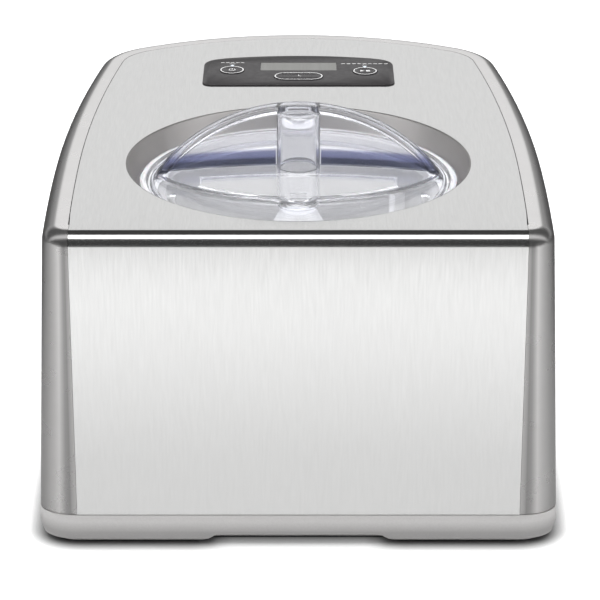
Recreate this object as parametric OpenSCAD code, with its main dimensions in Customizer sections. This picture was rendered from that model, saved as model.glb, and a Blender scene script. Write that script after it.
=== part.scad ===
// Compressor ice cream maker for the worktop, in millimetres.
// The origin is on the table under the middle of the machine, +Z is up and the front faces -Y.
// Distances called "from the front" are measured back from the face of the steel front panel.

/* [Body] */
// Width over the base
body_w = 318; // [300:1:340]
// Depth from the front of the base to the back of the housing
body_d = 414; // [405:1:450]
// Height of the steel top above the table
top_h = 201.5; // [196:0.5:240]
// How far the rubber feet stand out below the base
foot_h = 1.2; // [0.8:0.1:3]
// Height of the seam between the base and the housing
seam_h = 20; // [18:0.5:24]
// Wall thickness of the moulded housing and base
wall = 2.5; // [2:0.1:3]

/* [Housing] */
// Width of the flat band beside the steel top
band_w = 7.5; // [6:0.5:10]
// Radius of the housing's outer top edge
edge_r = 8.7; // [6:0.1:9]
// How far each side leans out from the top edge down to the base
flare = 7; // [4:0.5:9]
// Distance from the front at which the body is widest
bulge_t = 124; // [110:1:140]
// Radius of the side outline in front of the widest place
front_side_r = 3200; // [2500:50:5000]
// Radius of the side outline behind the widest place
rear_side_r = 1549; // [1300:1:2500]
// Radius of the back outline
back_r = 200; // [190:1:230]
// Radius of the rear corners
corner_r = 35; // [30:1:42]

/* [Steel] */
// Thickness of the steel sheet
sheet = 1; // [0.8:0.1:1.2]
// Radius of the bend between the front and the top
bend_r = 8.2; // [6:0.1:9]
// Gap round the steel where it meets the housing
sheet_gap = 0.2; // [0.1:0.05:0.3]
// Radius of the dish at the steel top
dish_r = 106; // [104:0.5:108]
// Radius of the dish where its wall meets the ledge
dish_floor_r = 100.5; // [100:0.1:101]
// Depth of the ledge below the steel top
dish_drop = 15; // [13:0.5:17]
// Radius of the hole in the ledge
dish_hole_r = 95.4; // [95.2:0.1:96]
// Distance of the dish's centre from the front
dish_t = 129; // [125:1:140]

/* [Lid] */
// Radius of the lid
lid_r = 99.3; // [98:0.1:99.5]
// Thickness of the lid's clear wall
lid_wall = 2.5; // [2:0.1:3]
// Height of the middle of the lid above its rim
lid_crown = 5.6; // [4:0.1:7]
// How far the lens-shaped middle of the lid stands up from the dome
lens_rise = 3; // [2:0.1:4]
// Half width of that middle from front to back
lens_half = 58; // [56:1:62]
// Height of the handle's arch above the lid's rim
arch_h = 48.4; // [42:0.2:54]
// Half length of the arch where it meets the rim
arch_half = 90.5; // [88:0.5:91]
// Width of the rail along the arch
rail_w = 10; // [8:0.5:12]
// Height of the rail along the arch
rail_h = 5; // [4:0.5:6]
// Radius of the tube in the middle of the lid
tube_r = 13.5; // [12:0.5:13.5]
// Clearance round the spout cover
cover_gap = 0.4; // [0.3:0.1:0.6]
// Half width of the spout
spout_half = 61; // [55:1:62]

/* [Bowls] */
// Outer radius of the lift-out mixing bowl
bowl_r = 84; // [80:0.5:84]
// Wall thickness of the mixing bowl
bowl_wall = 1.2; // [1:0.1:1.5]
// Gap between the mixing bowl and the chilled bowl
bowl_gap = 1; // [0.8:0.1:1.5]
// Wall thickness of the chilled bowl
chill_wall = 1.2; // [1:0.1:1.5]
// Height of the chilled bowl's underside above the table
chill_z = 72; // [70:0.5:76]
// Outer radius of the tube in the middle of the mixing bowl
core_r = 15; // [14:0.5:16]
// Thickness of the rod that the bowl's bail is bent from
bail_d = 4; // [3:0.5:4]

/* [Drive] */
// Radius of the drive shaft
shaft_r = 5; // [4:0.5:5.5]
// Radial clearance of every shaft in its bearing
run_gap = 0.05; // [0.03:0.01:0.08]
// Width across the flats of the shaft's hexagon head
hex_af = 9; // [8:0.5:9.5]
// Teeth of both small gears
pinion_teeth = 12; // [12:1:14]
// Teeth of the gear on the drive shaft
drive_teeth = 28; // [24:1:30]
// Teeth of the larger idler gear
idler_teeth = 30; // [24:1:32]
// Module of the gears on the drive shaft side
slow_module = 2; // [1.8:0.1:2]
// Module of the gears on the motor side
fast_module = 1.5; // [1.2:0.1:1.5]

/* [Cooling] */
// Radius of the compressor
comp_r = 50; // [44:1:52]
// Height of the compressor's steel shell
comp_h = 104; // [90:1:110]
// Radius of the fan over its blades
fan_r = 34; // [28:1:36]
// Radius of the evaporator tube
coil_r = 3; // [2.5:0.5:3]
// Turns of the evaporator tube round the chilled bowl
coil_turns = 7; // [5:1:7]
// Thickness of the foam round the evaporator
foam_wall = 17; // [12:1:17]

/* [Controls] */
// Half width of the control panel
panel_half = 65; // [62:1:66]
// Distance of the control panel's front edge from the front
panel_t = 279; // [275:1:282]
// Distance of the middle of its back edge from the front
panel_back_t = 345; // [343:1:348]
// Height of the panel above the steel
panel_rise = 0.8; // [0.6:0.1:1]
// Radius of the two round buttons
button_r = 8.4; // [7:0.1:8.6]
// Height of the buttons above the panel
button_rise = 0.6; // [0.6:0.1:1]
// Travel of the buttons
button_travel = 0.5; // [0.4:0.1:0.6]
// Clearance round the buttons, the window and the lamps
button_gap = 0.3; // [0.2:0.05:0.4]

/* [Hidden] */
$fn = 96;

// Places of the main features
base_front_y = -body_d / 2;
base_lip = 2;
front_y = base_front_y + base_lip;
base_z = foot_h;
floor_z = base_z + 4.8;
floor_t = 3;
// The housing's inner edge stands this far outside the line that its front corners turn about
seam_u = 0.4;
outer_u = band_w + edge_r;
foot_u = outer_u + flare;
seam_half = body_w / 2 - foot_u - 0.4;
back_t = body_d - base_lip - foot_u - 0.4;
pivot_t = outer_u + 0.3;
ledge_z = top_h - dish_drop;
rim_z = ledge_z + 3.6;
dish_y = front_y + dish_t;

// Outline of the seam between the steel and the housing, as arcs from the front to the back
function polar(r, a) = [r * cos(a), r * sin(a)];
front_side_c = [seam_half - front_side_r, bulge_t];
rear_side_c = [seam_half - rear_side_r, bulge_t];
back_c = [0, back_t - back_r];
// Centre of a circle that touches two others from inside, from its distances to their centres
function meeting_point(a, da, b, db) =
    let (v = b - a, d = norm(v), k = (da * da - db * db + d * d) / (2 * d), h = sqrt(da * da - k * k))
    a + v * k / d + [v[1], -v[0]] * h / d;
corner_c = meeting_point(back_c, back_r - corner_r, rear_side_c, rear_side_r - corner_r);
side_a = atan2(corner_c[1] - rear_side_c[1], corner_c[0] - rear_side_c[0]);
back_a = atan2(corner_c[1] - back_c[1], corner_c[0] - back_c[0]);
start_a = -asin((bulge_t - pivot_t) / front_side_r);
pivot = front_side_c + polar(front_side_r, start_a);

// Stations along the right half: [x, distance from the front, direction of the outside]
function stations(c, r, a0, a1, n) =
    [for (i = [1:n]) let (a = a0 + (a1 - a0) * i / n) concat(c + polar(r, a), a)];
corner_stations = [for (i = [0:6]) [pivot[0], pivot[1], -90 + (start_a + 90) * i / 6]];
side_stations = concat(
    stations(front_side_c, front_side_r, start_a, 0, 4),
    stations(rear_side_c, rear_side_r, 0, side_a, 8),
    stations(corner_c, corner_r, side_a, back_a, 8),
    stations(back_c, back_r, back_a, 90, 6));
half_stations = concat(corner_stations, side_stations);
last_station = len(half_stations) - 1;

// A point u outside the seam; at the front corners front_u is used along Y
function outside(s, u, front_u, z, side) =
    [side * (s[0] + u * cos(s[2])), front_y + s[1] + (s[2] < 0 ? front_u : u) * sin(s[2]), z];
// What lies inside the seam, such as the ledge under the steel, ends at the front corners
function clipped(s, u) = s[2] < start_a + 0.01 ? max(u, seam_u / 2) : u;
function ring_at(s, profile, side) =
    [for (p = profile) outside(s, clipped(s, p[0]), clipped(s, p[1]), p[2], side)];
// One ring of the profile at each station, from the right front corner round to the left one
function rings_round(profile) = concat(
    [for (i = [0:last_station]) ring_at(half_stations[i], profile, 1)],
    [for (i = [1:last_station]) ring_at(half_stations[last_station - i], profile, -1)]);
function plan(u, front_u) = [for (r = rings_round([[u, front_u, 0]])) [r[0][0], r[0][1]]];

// A solid through rings of points, closed on itself or with flat ends
module skin(rings, closed = false) {
    m = len(rings[0]);
    n = len(rings);
    last = closed ? n - 1 : n - 2;
    points = [for (r = rings) for (p = r) p];
    walls = [for (i = [0:last]) for (j = [0:m - 1])
        [i * m + j, i * m + (j + 1) % m, ((i + 1) % n) * m + (j + 1) % m, ((i + 1) % n) * m + j]];
    ends = closed ? [] : [[for (j = [0:m - 1]) m - 1 - j], [for (j = [0:m - 1]) (n - 1) * m + j]];
    polyhedron(points, concat(walls, ends), convexity = 6);
}

// A round tube along a list of points, with flat ends
function unit(v) = v / norm(v);
function heading(path, i) = unit(path[min(i + 1, len(path) - 1)] - path[max(i - 1, 0)]);
function tube_ring(c, along, r, sides) =
    let (a = unit(abs(along[2]) < 0.9 ? cross([0, 0, 1], along) : cross([1, 0, 0], along)),
        b = cross(along, a))
    [for (k = [0:sides - 1]) c + r * (cos(k * 360 / sides) * a - sin(k * 360 / sides) * b)];
module pipe(path, r, sides = 8)
    skin([for (i = [0:len(path) - 1]) tube_ring(path[i], heading(path, i), r, sides)]);
// Rounds the corners of a route: each inner point becomes a short curve
function rounded(path) = concat([path[0]],
    [for (i = [1:len(path) - 2]) for (s = [0:0.25:1])
        let (a = (path[i - 1] + path[i]) / 2, b = (path[i] + path[i + 1]) / 2,
            before = i == 1 ? path[0] + (path[1] - path[0]) * 0.6 : a,
            after = i == len(path) - 2 ? path[i + 1] + (path[i] - path[i + 1]) * 0.6 : b)
        before * pow(1 - s, 2) + path[i] * 2 * s * (1 - s) + after * s * s],
    [path[len(path) - 1]]);

module at_bowl(z = 0) translate([0, dish_y, z]) children();
module ring_of(outer, inner, h) difference() {
    cylinder(r = outer, h = h);
    translate([0, 0, -1]) cylinder(r = inner, h = h + 2);
}
module stadium(half_w, half_h) {
    square([2 * (half_w - half_h), 2 * half_h], center = true);
    for (side = [-1, 1]) translate([side * (half_w - half_h), 0]) circle(r = half_h);
}

// ---- Base ----
foot_r = 11;
foot_places = [[-118, 26], [118, 26], [-96, 352], [96, 352]];
screw_r = 2;
screw_head_r = 4;
screw_head_z = 4.2;
screw_head_h = 3.6;
screw_boss_r = 5.5;
// The housing screws stand just inside its wall: [distance from the front, width inside the seam]
boss_u = foot_u - wall - 6.5;
boss_stations = [side_stations[0], side_stations[5], side_stations[10]];
module at_bosses() for (side = [-1, 1]) for (s = boss_stations) {
    // Local +X points out of the housing on both sides
    translate(outside(s, boss_u, boss_u, 0, side)) rotate([0, 0, side > 0 ? 0 : 180]) children();
}
base_profile = [
    [outer_u - 1, outer_u - 4.5, base_z], [foot_u - 2, outer_u + 0.4, base_z + 2.6],
    [foot_u + 0.4, outer_u + 2.3, base_z + 9], [foot_u + 0.4, outer_u + 2.3, seam_h - 1.2],
    [foot_u - 0.6, outer_u + 1.4, seam_h], [foot_u - wall, outer_u - 1.2, seam_h],
    [foot_u - wall, outer_u - 1.2, floor_z], [outer_u - 2, outer_u - 6, floor_z]];
notch_top = 50;
notch_bottom = 59.5;
notch_h = 7.5;
notch_depth = 12;
module base_tray() color("silver") {
    difference() {
        union() {
            skin(rings_round(base_profile), closed = true);
            translate([0, 0, floor_z - floor_t]) linear_extrude(floor_t)
                polygon(plan(outer_u - 1.5, outer_u - 5));
            at_bosses() translate([0, 0, floor_z - floor_t])
                cylinder(r = screw_boss_r, h = seam_h - 0.2 - floor_z + floor_t);
            // Block that the notch under the front edge is cut into
            translate([-notch_bottom - 3, base_front_y + 3, floor_z - 1])
                cube([2 * notch_bottom + 6, notch_depth + 2, notch_h + floor_t + 0.5 - floor_z]);
            // Ribs that hold the power board
            for (t = [board_t - 2, board_t + board_l - 6])
                translate([board_x - 6, front_y + t, floor_z - 1]) cube([12, 8, 15]);
        }
        // Arched notch under the front edge
        translate([0, base_front_y - 1, 0]) rotate([90, 0, 0]) mirror([0, 0, 1]) linear_extrude(notch_depth)
            polygon([[-notch_bottom, -1], [notch_bottom, -1], [notch_bottom - 3, base_z + 1.5],
                [notch_top + 3, notch_h - 0.8], [notch_top, notch_h], [-notch_top, notch_h],
                [-notch_top - 3, notch_h - 0.8], [3 - notch_bottom, base_z + 1.5]]);
        at_bosses() translate([0, 0, -1]) cylinder(r = screw_r + 0.3, h = seam_h + 2);
        at_bosses() translate([0, 0, -1])
            cylinder(r = screw_head_r + 0.3, h = screw_head_z + screw_head_h + 1.2);
        for (p = foot_places) translate([p[0], front_y + p[1], -1])
            cylinder(r = foot_r + 0.1, h = foot_h + 2.2);
        // Slot in the ribs for the board
        translate([board_x - board_th / 2 - 0.2, front_y + board_t - 4, board_z])
            cube([board_th + 0.4, board_l + 8, 40]);
        for (m = comp_feet) translate([m[0], front_y + m[1], -1]) cylinder(r = 3, h = 20);
    }
}
module rubber_feet() color("dimgray") for (p = foot_places) translate([p[0], front_y + p[1], 0]) {
    cylinder(r1 = foot_r - 1, r2 = foot_r, h = 1);
    translate([0, 0, 1]) cylinder(r = foot_r, h = foot_h + 0.2);
}
module base_screws() color("darkgray") at_bosses() {
    translate([0, 0, screw_head_z]) cylinder(r = screw_head_r, h = screw_head_h);
    translate([0, 0, screw_head_z + screw_head_h]) cylinder(r = screw_r, h = seam_h + 8);
}

// ---- Housing and steel ----
fillet_n = 5;
ledge_w = 6;
function fillet(r) = [for (i = [0:fillet_n]) let (a = 90 - 90 * i / fillet_n)
    [band_w + r * cos(a), band_w + r * cos(a), top_h - edge_r + r * sin(a)]];
housing_profile = concat(
    [[seam_u, seam_u, top_h]], fillet(edge_r),
    [[foot_u, outer_u, seam_h + 0.4], [foot_u - wall, outer_u - wall, seam_h + 0.4]],
    [for (i = [0:fillet_n]) fillet(edge_r - wall)[fillet_n - i]],
    [[-ledge_w, -ledge_w, top_h - wall], [-ledge_w, -ledge_w, top_h - sheet],
     [seam_u, seam_u, top_h - sheet]]);
vent_t = 255;
vent_l = 84;
vent_low_z = seam_h + 30;
vent_step = 10;
vent_h = 4;
rear_vent_half = 56;
module housing_shell() color("gainsboro") difference() {
    skin(rings_round(housing_profile));
    // Louvres at the back of both sides and in the rear wall
    for (i = [0:8]) translate([-body_w, front_y + vent_t, vent_low_z + i * vent_step])
        cube([2 * body_w, vent_l, vent_h]);
    for (i = [0:8]) translate([-rear_vent_half, front_y + back_t - 15, vent_low_z + i * vent_step])
        cube([2 * rear_vent_half, 60, vent_h]);
    translate([gland_x, front_y + back_t - 15, gland_z]) rotate([-90, 0, 0])
        cylinder(r = gland_r + 0.1, h = 60);
}
// Blocks bonded to the inside of the housing that take the screws from the base
bracket_h = 19;
module wall_brackets() color("gray") at_bosses() difference() {
    translate([-screw_boss_r, -screw_boss_r, seam_h + 0.4])
        cube([screw_boss_r + foot_u - wall - boss_u - 1.1, 2 * screw_boss_r, bracket_h]);
    translate([0, 0, seam_h - 1]) cylinder(r = screw_r, h = bracket_h);
}
// Plan of the steel top behind the front corners, u outside the seam
module top_plan(u) polygon([for (i = [0:2 * last_station])
    let (s = half_stations[i <= last_station ? i : 2 * last_station - i], side = i <= last_station ? 1 : -1,
        front = s[2] < start_a - 0.01)
    front ? [side * (pivot[0] + u), front_y + max(bend_r, pivot_t + 2) + (pivot[1] - s[1])]
        : [side * (s[0] + u * cos(s[2])), front_y + s[1] + u * sin(s[2])]]);
module steel_plan() {
    top_plan(seam_u - sheet_gap);
    translate([-pivot[0] + sheet_gap, front_y + bend_r])
        square([2 * (pivot[0] - sheet_gap), pivot_t + 4 - bend_r]);
}
steel_half = pivot[0] - sheet_gap;
dish_profile = [[dish_r + 2, top_h], [dish_r, top_h], [dish_r - 1, top_h - 0.7],
    [dish_floor_r + 0.6, ledge_z + 1.4], [dish_floor_r - 0.6, ledge_z], [dish_hole_r, ledge_z],
    [dish_hole_r, ledge_z - sheet], [dish_floor_r, ledge_z - sheet],
    [dish_floor_r + 1.8, ledge_z + 1], [dish_r, top_h - sheet], [dish_r + 2, top_h - sheet]];
module steel_wrap() color("lightgray") {
    difference() {
        union() {
            translate([0, 0, top_h - sheet]) linear_extrude(sheet) steel_plan();
            translate([-steel_half, front_y, seam_h + 0.4])
                cube([2 * steel_half, sheet, top_h - bend_r - seam_h - 0.4]);
            translate([steel_half, front_y + bend_r, top_h - bend_r]) rotate([0, -90, 0])
                rotate([0, 0, -90]) rotate_extrude(angle = 90)
                    translate([bend_r - sheet, 0]) square([sheet, 2 * steel_half]);
        }
        at_bowl(top_h - 5) cylinder(r = dish_r + 1, h = 10);
        translate([-panel_half + 6, front_y + panel_t + 5, top_h - 5]) cube([2 * panel_half - 12, 50, 10]);
    }
    at_bowl() rotate_extrude() polygon(dish_profile);
}
gland_r = 6.5;
gland_x = -80;
gland_z = 44;
gland_bore = 3.6;
module cord_gland() color("dimgray") {
    y0 = front_y + back_t - 8;
    translate([gland_x, y0, gland_z]) rotate([-90, 0, 0]) difference() {
        union() {
            cylinder(r = gland_r, h = 24);
            translate([0, 0, 24]) cylinder(r = 9, h = 3);
            cylinder(r = 8.5, h = 3);
        }
        translate([0, 0, -1]) cylinder(r = gland_bore, h = 40);
    }
}

// ---- Collar, chilled bowl and mixing bowl ----
chill_r = bowl_r + bowl_gap + chill_wall;
collar_h = 6.8;
collar_z = ledge_z - sheet - collar_h;
skirt_r = 92;
lug_r = 94.4;
lug_half_a = 5;
turn_a = 25;
module bowl_collar() color("whitesmoke") at_bowl() difference() {
    union() {
        translate([0, 0, collar_z]) ring_of(dish_hole_r + 3.5, skirt_r + 0.6, collar_h);
        translate([0, 0, collar_z]) ring_of(skirt_r + 2, bowl_r + 4, 1.5);
    }
    // Slots in which the lid's lugs turn
    for (k = [0:2]) rotate([0, 0, k * 120 + 90 - lug_half_a - 1]) translate([0, 0, collar_z + 1.5])
        rotate_extrude(angle = 2 * lug_half_a + 2 + turn_a) translate([skirt_r - 1, 0])
            square([lug_r + 0.4 - skirt_r + 1, collar_h]);
}
flange_z = collar_z - chill_wall;
module chilled_bowl() color("silver") at_bowl() rotate_extrude() difference() {
    polygon([[shaft_r + 4.1, chill_z], [chill_r - 8, chill_z], [chill_r - 2.3, chill_z + 2.3],
        [chill_r, chill_z + 8], [chill_r, flange_z], [dish_hole_r - 0.5, flange_z],
        [dish_hole_r - 0.5, flange_z + chill_wall], [chill_r - chill_wall, flange_z + chill_wall],
        [chill_r - chill_wall, chill_z + 8.4], [chill_r - chill_wall - 2.1, chill_z + 3.3],
        [chill_r - 8.4, chill_z + chill_wall], [shaft_r + 4.1, chill_z + chill_wall]]);
}
bowl_z = chill_z + chill_wall + 1;
bowl_rim_z = collar_z + 0.3;
core_top_z = bowl_rim_z - 33;
bail_z = bowl_rim_z - 4;
bail_r = bowl_r - 5.4;
// Bowl with a tube in its middle that the drive shaft passes up, and ears for the bail
module mixing_bowl() color("gainsboro") at_bowl() {
    rotate_extrude() polygon([
        [core_r - bowl_wall, bowl_z], [bowl_r - 8, bowl_z], [bowl_r - 2.3, bowl_z + 2.3],
        [bowl_r, bowl_z + 8], [bowl_r, bowl_rim_z], [bowl_r + 3, bowl_rim_z], [bowl_r + 3, bowl_rim_z + 1.6],
        [bowl_r - bowl_wall, bowl_rim_z + 1.6], [bowl_r - bowl_wall, bowl_z + 8.4],
        [bowl_r - bowl_wall - 2.1, bowl_z + 3.3], [bowl_r - 8.4, bowl_z + bowl_wall],
        [core_r + 1.5, bowl_z + bowl_wall], [core_r, bowl_z + bowl_wall + 1.5], [core_r, core_top_z],
        [core_r - bowl_wall, core_top_z]]);
    for (side = [-1, 1]) rotate([0, 0, side * 90 - 90]) translate([bowl_r - 4, 0, bail_z]) {
        translate([-0.6, 0, 0]) rotate([0, 90, 0]) cylinder(r = 1.5, h = 4, $fn = 24);
        translate([2.4, -3, -3]) cube([1.2, 6, 6]);
    }
}
module bowl_bail() color("darkgray") at_bowl(bail_z) {
    difference() {
        rotate_extrude() translate([bail_r, 0]) circle(r = bail_d / 2, $fn = 24);
        translate([-bowl_r, 4, -5]) cube([2 * bowl_r, bowl_r, 10]);
        for (side = [-1, 1]) translate([side * bowl_r, 2, 0]) cube([24, 8, 10], center = true);
    }
    for (side = [-1, 1]) translate([side * (bail_r + 0.4), 0, 0]) rotate([0, side * 90, 0])
        difference() {
            translate([0, 0, -2.4]) cylinder(r = 3.2, h = 3.6);
            translate([0, 0, -4]) cylinder(r = 1.5 + run_gap, h = 8, $fn = 24);
        }
}

// ---- Paddle ----
paddle_top_z = core_top_z + 22;
blade_r = bowl_r - bowl_wall - 1;
blade_z = bowl_z + bowl_wall + 1.2;
module paddle_arm() {
    blade_top = bail_z - 8;
    // Foot, two cross bars and the tall scraper of one arm
    translate([core_r + 2.5, -3, blade_z]) cube([blade_r - core_r - 12, 6, 9]);
    for (z = [blade_z + 34, blade_z + 66]) translate([core_r + 2.5, -2.5, z])
        cube([blade_r - core_r - 12, 5, 6]);
    translate([blade_r - 13, 0, blade_z]) rotate([0, 0, 24]) translate([0, -2, 0]) difference() {
        cube([12, 4, blade_top - blade_z]);
        translate([12, 2, -1]) rotate([0, -45, 0]) cube([9, 6, 9], center = true);
    }
}
module mixing_paddle() color("whitesmoke") at_bowl() difference() {
    union() {
        translate([0, 0, blade_z]) cylinder(r = core_r + 4, h = core_top_z + 8 - blade_z);
        translate([0, 0, core_top_z + 8])
            cylinder(r1 = core_r + 4, r2 = 11, h = paddle_top_z - core_top_z - 8);
        for (a = [30, 210]) rotate([0, 0, a]) paddle_arm();
    }
    translate([0, 0, blade_z - 1]) cylinder(r = core_r + 1, h = core_top_z + 4 - blade_z);
    translate([0, 0, core_top_z]) linear_extrude(hex_top_z + 1.5 - core_top_z) hexagon(hex_af + 0.5);
}
module hexagon(across_flats) circle(r = across_flats / 2 / cos(30), $fn = 6);

// ---- Drive ----
cradle_z = 62;
cradle_t = 4;
gear_mid_z = 51;
slow_d = slow_module * (pinion_teeth + drive_teeth) / 2;
fast_d = fast_module * (pinion_teeth + idler_teeth) / 2;
idler_x = slow_d;
motor_x = slow_d + fast_d;
case_z = 33;
case_floor = 3;
cover_z = cradle_z - 4;
hex_top_z = core_top_z + 12;
module drive_shaft() color("silver") at_bowl() {
    low_z = case_z + case_floor + 0.5;
    translate([0, 0, low_z]) cylinder(r = shaft_r, h = core_top_z + 2 - low_z);
    translate([0, 0, core_top_z + 2]) linear_extrude(hex_top_z - core_top_z - 2) hexagon(hex_af);
}
module shaft_bush() color("tan") at_bowl() difference() {
    union() {
        translate([0, 0, cradle_z]) cylinder(r = shaft_r + 4, h = chill_z + chill_wall - cradle_z);
        translate([0, 0, chill_z + chill_wall]) cylinder(r = shaft_r + 6, h = 1.5);
    }
    translate([0, 0, cradle_z - 1]) cylinder(r = shaft_r + run_gap, h = 30);
}
// Half angle of a tooth at radius r, for an involute flank on base radius rb
function inv(r, rb) = let (t = acos(min(1, rb / r))) tan(t) * 180 / PI - t;
function tooth_half(r, teeth, mod, slack) =
    let (rp = mod * teeth / 2, rb = rp * cos(20))
    90 / teeth - slack / rp * 90 / PI + inv(rp, rb) - inv(max(r, rb), rb);
module gear_plan(teeth, mod) {
    slack = 0.3;
    rp = mod * teeth / 2;
    root = rp - 1.15 * mod;
    tip = rp + 0.8 * mod;
    radii = [root, max(root + 0.1, rp * cos(20)), rp, rp + 0.45 * mod, tip];
    // Up one flank of each tooth and down the other
    polygon([for (k = [0:teeth - 1]) for (i = [-5:4])
        let (r = radii[i < 0 ? 5 + i : 4 - i], side = i < 0 ? -1 : 1)
        polar(r, k * 360 / teeth + side * tooth_half(r, teeth, mod, slack))]);
}
module drive_gear() color("ivory") at_bowl() difference() {
    union() {
        translate([0, 0, gear_mid_z - 4.5]) linear_extrude(9) gear_plan(drive_teeth, slow_module);
        translate([0, 0, gear_mid_z - 8]) cylinder(r = shaft_r + 4, h = 14);
    }
    translate([0, 0, gear_mid_z - 10]) cylinder(r = shaft_r, h = 24);
}
// Turn that puts a tooth gap of the small gear opposite a tooth of the large one
module idler_gear() color("ivory") at_bowl() translate([idler_x, 0, 0]) difference() {
    union() {
        translate([0, 0, gear_mid_z - 5]) linear_extrude(10) rotate([0, 0, 180 + 180 / pinion_teeth])
            gear_plan(pinion_teeth, slow_module);
        translate([0, 0, gear_mid_z - 13]) linear_extrude(6) gear_plan(idler_teeth, fast_module);
        translate([0, 0, gear_mid_z - 8]) cylinder(r = pinion_teeth * slow_module / 2 - 2.6, h = 4);
    }
    translate([0, 0, gear_mid_z - 14]) cylinder(r = 3 + run_gap, h = 24);
}
module idler_pin() color("silver") at_bowl(case_z + case_floor - 2) translate([idler_x, 0, 0])
    cylinder(r = 3, h = cover_z - case_z - case_floor + 3.5);
module motor_pinion() color("ivory") at_bowl() translate([motor_x, 0, 0]) {
    translate([0, 0, gear_mid_z - 14]) linear_extrude(8) rotate([0, 0, 180 + 180 / pinion_teeth])
        gear_plan(pinion_teeth, fast_module);
    translate([0, 0, case_z - 8]) cylinder(r = 2.5, h = 14);
}
motor_r = 30;
module drive_motor() color("dimgray") at_bowl() translate([motor_x, 0, 0]) difference() {
    union() {
        translate([0, 0, floor_z]) cylinder(r = motor_r, h = case_z - floor_z - 2);
        translate([0, 0, case_z - 3]) cylinder(r = 8, h = 3);
    }
    translate([0, 0, case_z - 9]) cylinder(r = 2.5 + run_gap, h = 12);
}
module gearbox_plan(grow) {
    slow_tip = slow_module * (drive_teeth / 2 + 0.8);
    fast_tip = fast_module * (idler_teeth / 2 + 0.8);
    circle(r = slow_tip + grow);
    translate([idler_x, 0]) circle(r = fast_tip + grow);
    translate([motor_x, 0]) circle(r = fast_module * (pinion_teeth / 2 + 0.8) + grow + 2);
    translate([0, -fast_tip - grow + 4]) square([motor_x, 2 * (fast_tip + grow - 4)]);
}
module gearbox_case() color("darkgray") at_bowl() difference() {
    translate([0, 0, case_z]) linear_extrude(cover_z - case_z) gearbox_plan(4);
    translate([0, 0, case_z + case_floor]) linear_extrude(cover_z - case_z) gearbox_plan(1.5);
    translate([motor_x, 0, case_z - 1]) cylinder(r = 3.5, h = 8);
    translate([idler_x, 0, case_z + 1]) cylinder(r = 3, h = 8);
}
module gearbox_cover() color("gray") at_bowl(cover_z) difference() {
    linear_extrude(3) gearbox_plan(4);
    translate([0, 0, -1]) cylinder(r = shaft_r + run_gap, h = 6);
    translate([idler_x, 0, -1]) cylinder(r = 3, h = 2.5);
}
foam_r = chill_r + 1.1 + 2 * coil_r + foam_wall;
module bowl_cradle() color("gray") at_bowl() {
    difference() {
        translate([0, 0, cradle_z]) cylinder(r = foam_r, h = cradle_t);
        translate([0, 0, cradle_z - 1]) cylinder(r = shaft_r + 4.1, h = cradle_t + 2);
    }
    for (a = [45, 135, 225, 315]) rotate([0, 0, a]) translate([foam_r - 8, 0, floor_z])
        cylinder(r = 6, h = cradle_z - floor_z);
}

// ---- Cooling circuit ----
coil_gap = 0.8;
coil_mid_r = chill_r + coil_gap + coil_r;
coil_low_z = chill_z + 16;
coil_high_z = flange_z - 12;
coil_steps = 36;
function coil_point(s) = let (a = 90 + 360 * coil_turns * s)
    [coil_mid_r * cos(a), dish_y + coil_mid_r * sin(a), coil_low_z + (coil_high_z - coil_low_z) * s];
module evaporator_coil() color("peru") pipe(
    [for (i = [0:coil_turns * coil_steps]) coil_point(i / (coil_turns * coil_steps))], coil_r, 6);
module foam_jacket() color("khaki") at_bowl() difference() {
    translate([0, 0, cradle_z + cradle_t]) cylinder(r = foam_r, h = flange_z - cradle_z - cradle_t - 0.5);
    translate([0, 0, chill_z]) cylinder(r = coil_mid_r + coil_r + 0.3, h = 200);
    translate([0, 0, cradle_z]) cylinder(r = shaft_r + 4.2, h = 40);
    // Ways out for the pipes at the back
    for (z = [coil_low_z, coil_high_z]) translate([-9, 60, z - 6]) cube([18, 80, 12]);
}
comp_c = [-60, 308];
comp_z = floor_z + 14;
comp_feet = [for (a = [45:90:315]) comp_c + polar(comp_r + 2, a)];
module compressor() color("#303030") translate([comp_c[0], front_y + comp_c[1], 0]) {
    translate([0, 0, comp_z]) cylinder(r = comp_r - 2, h = comp_h - 30);
    translate([0, 0, comp_z + 34]) cylinder(r = comp_r, h = 4);
    translate([0, 0, comp_z + comp_h - 30]) intersection() {
        translate([0, 0, -40]) sphere(r = norm([comp_r - 2, 40]));
        cylinder(r = comp_r - 2, h = 60);
    }
    for (a = [45:90:315]) rotate([0, 0, a]) translate([comp_r - 8, -7, comp_z - 2]) difference() {
        cube([18, 14, 2.5]);
        translate([10, 7, -1]) cylinder(r = 3.3, h = 6);
    }
}
module compressor_grommets() color("black") for (m = comp_feet) translate([m[0], front_y + m[1], floor_z])
    difference() {
        union() {
            cylinder(r = 7, h = comp_z - 2 - floor_z);
            cylinder(r = 3.2, h = comp_z + 3 - floor_z);
            translate([0, 0, comp_z + 0.5 - floor_z]) cylinder(r = 5.5, h = 2.5);
        }
        translate([0, 0, -1]) cylinder(r = 1.5, h = 40);
    }
cond_x = 92;
cond_w = 22;
cond_t = 258;
cond_l = 82;
cond_h = 104;
fin_n = 20;
module condenser() color("silver") translate([cond_x, front_y + cond_t, floor_z]) {
    for (i = [0:fin_n]) translate([0, i * (cond_l - 1) / fin_n, 0]) cube([cond_w, 1, cond_h]);
    for (x = [6, 16]) for (k = [0:4]) translate([x, -3, 12 + k * 20]) rotate([-90, 0, 0])
        cylinder(r = 3, h = cond_l + 6, $fn = 24);
}
fan_y = front_y + cond_t + cond_l / 2;
fan_z = floor_z + cond_h / 2;
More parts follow.
